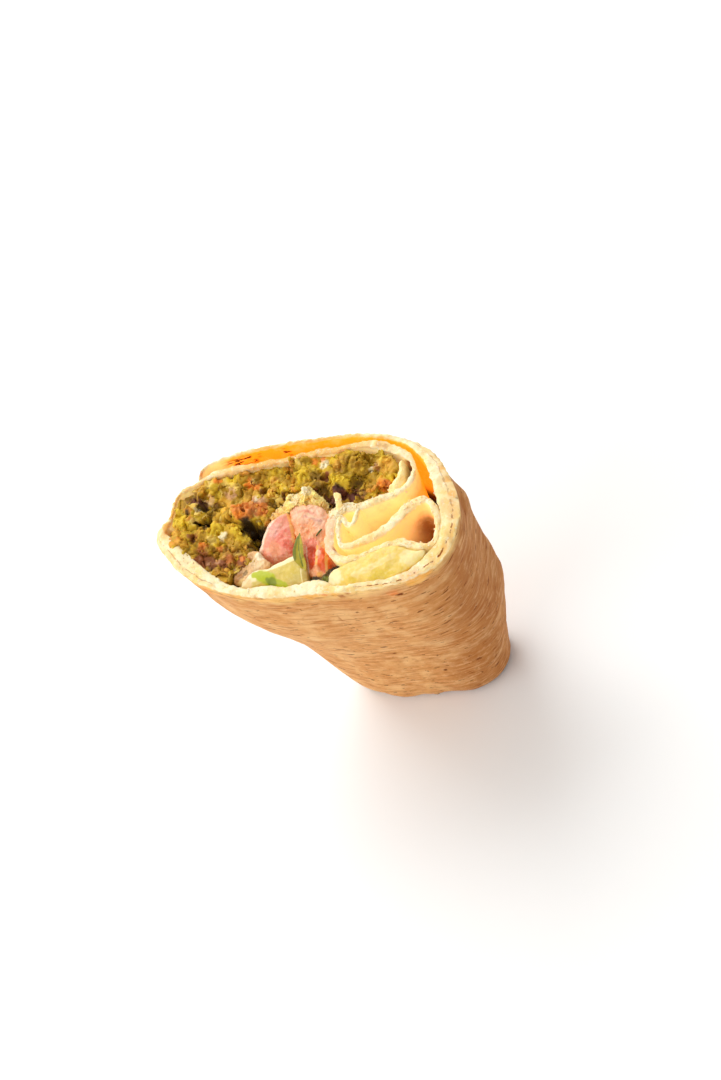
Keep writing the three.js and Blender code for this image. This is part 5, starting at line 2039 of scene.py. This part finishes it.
SLICE = Wedge(
    "cucumber_slice", "cucumber_slice_flesh", "cucumber", "cucumber", Flesh.YELLOW, hub=(18.6, -15.6, 0.1),
    seed=7.0, relief=0.22, relief_size=3.6, rounding=0.5, crown=0.1, columns=220,
    outline=(
        (7.4, -19.5, -0.6), (7, -17.2, -0.5), (7.8, -15.7, -0.4), (9.6, -14.9, -0.2), (11.5, -14.1, 0),
        (13.3, -13.3, 0.1), (15.4, -12.6, 0.2), (17.5, -11.9, 0.3), (19.6, -11.3, 0.4), (21.6, -10.9, 0.4),
        (23.7, -10.7, 0.4), (25.7, -11, 0.4), (27.5, -11.8, 0.3), (29.8, -12.4, 0.2), (32, -12.6, 0.1),
        (31.4, -14.2, -0.1), (29.2, -15.8, -0.2), (26.8, -17.2, -0.4), (24.4, -18.4, -0.5),
        (21.2, -19.4, -0.7), (17.9, -20.1, -0.9), (14.2, -20.4, -1.1), (10.7, -20.6, -1.1),
    ),
    spots=(
        Spot(8.6, -17.4, 2.2, Flesh.WATER, 0.7), Spot(13.4, -18.4, 1.2, Flesh.LIME, 0.7),
        Spot(18, -14.8, 2.2, Flesh.LIME, 0.25),
        Streak(((18.6, -18.4), (22, -17.4), (25.4, -16)), 2.4, Flesh.LIME, 0.45),
        Spot(20.2, -18.2, 2, Flesh.LIME, 0.8), Spot(23, -17, 1, Flesh.LIME, 0.5),
        Spot(28, -13.8, 2.2, Flesh.WATER, 0.5),
        Streak(((14, -17.4), (18, -16), (24, -13.4)), 1.4, Flesh.WATER, 0.35),
        Spot(31, -13, 1.2, Flesh.WATER, 0.5),
    ),
)
SAUCE = Wedge(
    "sauce", "sauce_pool", "sauce", "sauce", Flesh.TAHINI, hub=(-14.4, -12.4, -0.4), seed=8.0,
    relief=0.5, relief_size=2.4,
    outline=(
        (-16.6, -17.2, -1.2), (-19.6, -14.4, -1.8), (-20.1, -11.7, -2), (-18.5, -9.8, -1.8),
        (-16.4, -8.6, -1.2), (-14.1, -8.2, -0.6), (-11.9, -8.9, 0.2), (-10.3, -10.7, 0.2), (-8.6, -12.4, 0),
        (-10, -14.8, -0.8), (-13.3, -16.6, -1), (-14.9, -17.9, -1),
    ),
    peaks=((-11.6, -10.2, 1.2, 0.6), (-17, -12.6, 3.0, -0.9), (-15.2, -10.4, 2.2, -1.1)),
    spots=(
        Spot(-12, -11.8, 1.8, Flesh.MILK, 0.8), Spot(-17.8, -14.6, 2, Flesh.BUFF, 0.95),
        Spot(-15.4, -14.2, 0.9, Flesh.BOG, 0.7), Spot(-18.6, -11.6, 1.8, Flesh.BUFF, 0.6),
        Spot(-11.3, -10.4, 1, Flesh.CREAM, 0.9), Spot(-16.4, -16.8, 1.4, Flesh.SEA, 0.6),
        Spot(-14.4, -10.4, 1.4, Flesh.BUFF, 0.45),
    ),
)
SHREDS = Wedge(
    "shreds", "shreds_heap", "shreds", "shreds", Flesh.BUTTER, hub=(-1.0, 4.0, 1.0), seed=9.0,
    relief=0.25, relief_size=2.6, lumps=0.6, lump_size=1.7, rounding=1.0, crown=0.3,
    outline=(
        (-10, 0.3, -1.2), (-8.8, 2.3, -0.8), (-6.8, 3.8, -0.4), (-5.7, 5.2, 0), (-4.3, 5.9, 0.2),
        (-2.8, 6, 0.4), (-1.4, 6.8, 0.4), (-0.3, 7.4, 0.5), (1.1, 7, 0.5), (2.1, 6.3, 0.4),
        (3.3, 5.5, 0.2), (4.4, 4.1, 0), (5.6, 2.6, -0.4), (5, 0.9, -1), (1.6, 1, -1),
        (-1.5, 0.8, -0.8), (-3.7, 0.4, -0.8), (-5.6, 0, -1), (-7.7, -0.6, -1.2),
    ),
    peaks=((0.2, 6.2, 1.3, 1.5), (-3.6, 4.8, 1.4, 0.8), (2.2, 4.8, 1.2, 0.6)),
    spots=(
        Spot(-8.4, 1, 1.8, Flesh.TOASTED, 0.7), Spot(-6.6, 2.6, 1.6, Flesh.TOASTED, 0.4),
        Spot(0.1, 5.8, 1.2, Flesh.CREAM, 0.95), Spot(1.8, 3.6, 1.2, Flesh.TOASTED, 0.35),
        Spot(-2.4, 4, 1.6, Flesh.CREAM, 0.5), Spot(4.4, 2.2, 1.1, Flesh.TOASTED, 0.6),
    ),
)
# A dark leaf low in a gap: its near-black colour is partly the leaf's own and partly painted shade, and its
# black spots are painted shade in the holes beside it.
DARK_HERB = Wedge(
    "dark_leaf", "dark_herb_blade", "dark_herb", "leaf", Flesh.BOG, hub=(5.6, -16.8, -1.6), seed=11.0,
    relief=0.7, relief_size=1.6, rounding=0.6, columns=120, rows=70,
    outline=(
        (1.2, -18.4, -2.4), (1.3, -16.6, -2.6), (3.4, -16, -2.8), (6.2, -14.6, -3), (7.6, -12.6, -3.4),
        (9.4, -13.4, -3.6), (9.2, -15.6, -3), (8.2, -17.4, -2), (7.9, -19.2, -1.8), (4.6, -19.4, -2),
    ),
    spots=(
        Spot(8.4, -14.2, 1.8, Flesh.BLACK), Spot(3, -17.2, 1.2, Flesh.BLACK, 0.8),
        Spot(6.4, -17.6, 1.1, Flesh.GREEN, 0.5),
    ),
)


def main() -> None:
    """Builds every piece of the wrap in order, then the stage."""
    logging.basicConfig(level=logging.INFO, format="%(message)s")
    noise.seed_set(NOISE_SEED)
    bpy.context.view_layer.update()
    make_finishes()
    Studio().build()
    bread = Flatbread().build()
    upper = Falafel("falafel_upper", "falafel_upper_crumb", 2.0).build()
    lower = Falafel("falafel_lower", "falafel_lower_crumb", 6.0).build()
    LooseCrumbs(
        "falafel_crumbs", "falafel", "falafel", 130, own_share=0.25,
        regions=((-35, 22, -2, 17), (-35, -14, -13, 5), (-14, -3, 0, 12)),
        tones=(Tone.LIME, Tone.STRAW, Tone.OLIVE, Tone.AMBER, Tone.RUST, Tone.LIME),
    ).build([upper, lower])
    LooseCrumbs(
        "bread_crumbs", "flatbread", "shreds", 190,
        smallest=0.16, largest=0.42, own_share=0.8, seed=8, margin=0.6,
        regions=((6, 36, -13, 6), (26, 34, -12, 3), (6, 12, -2, 4), (-34, 38, -21, -8), (10, 28, 0, 6)),
        tones=(Crumb.WHITE, Crumb.CREAM, Crumb.WHITE, Crumb.BUTTER),
    ).build([bread])
    for piece in (TOMATO_LEFT, TOMATO_RIGHT, CHUNK, SLICE, SAUCE, SHREDS, DARK_HERB):
        piece.build()
    Herb().build()
    Drip().build()


if __name__ == "__main__":
    main()
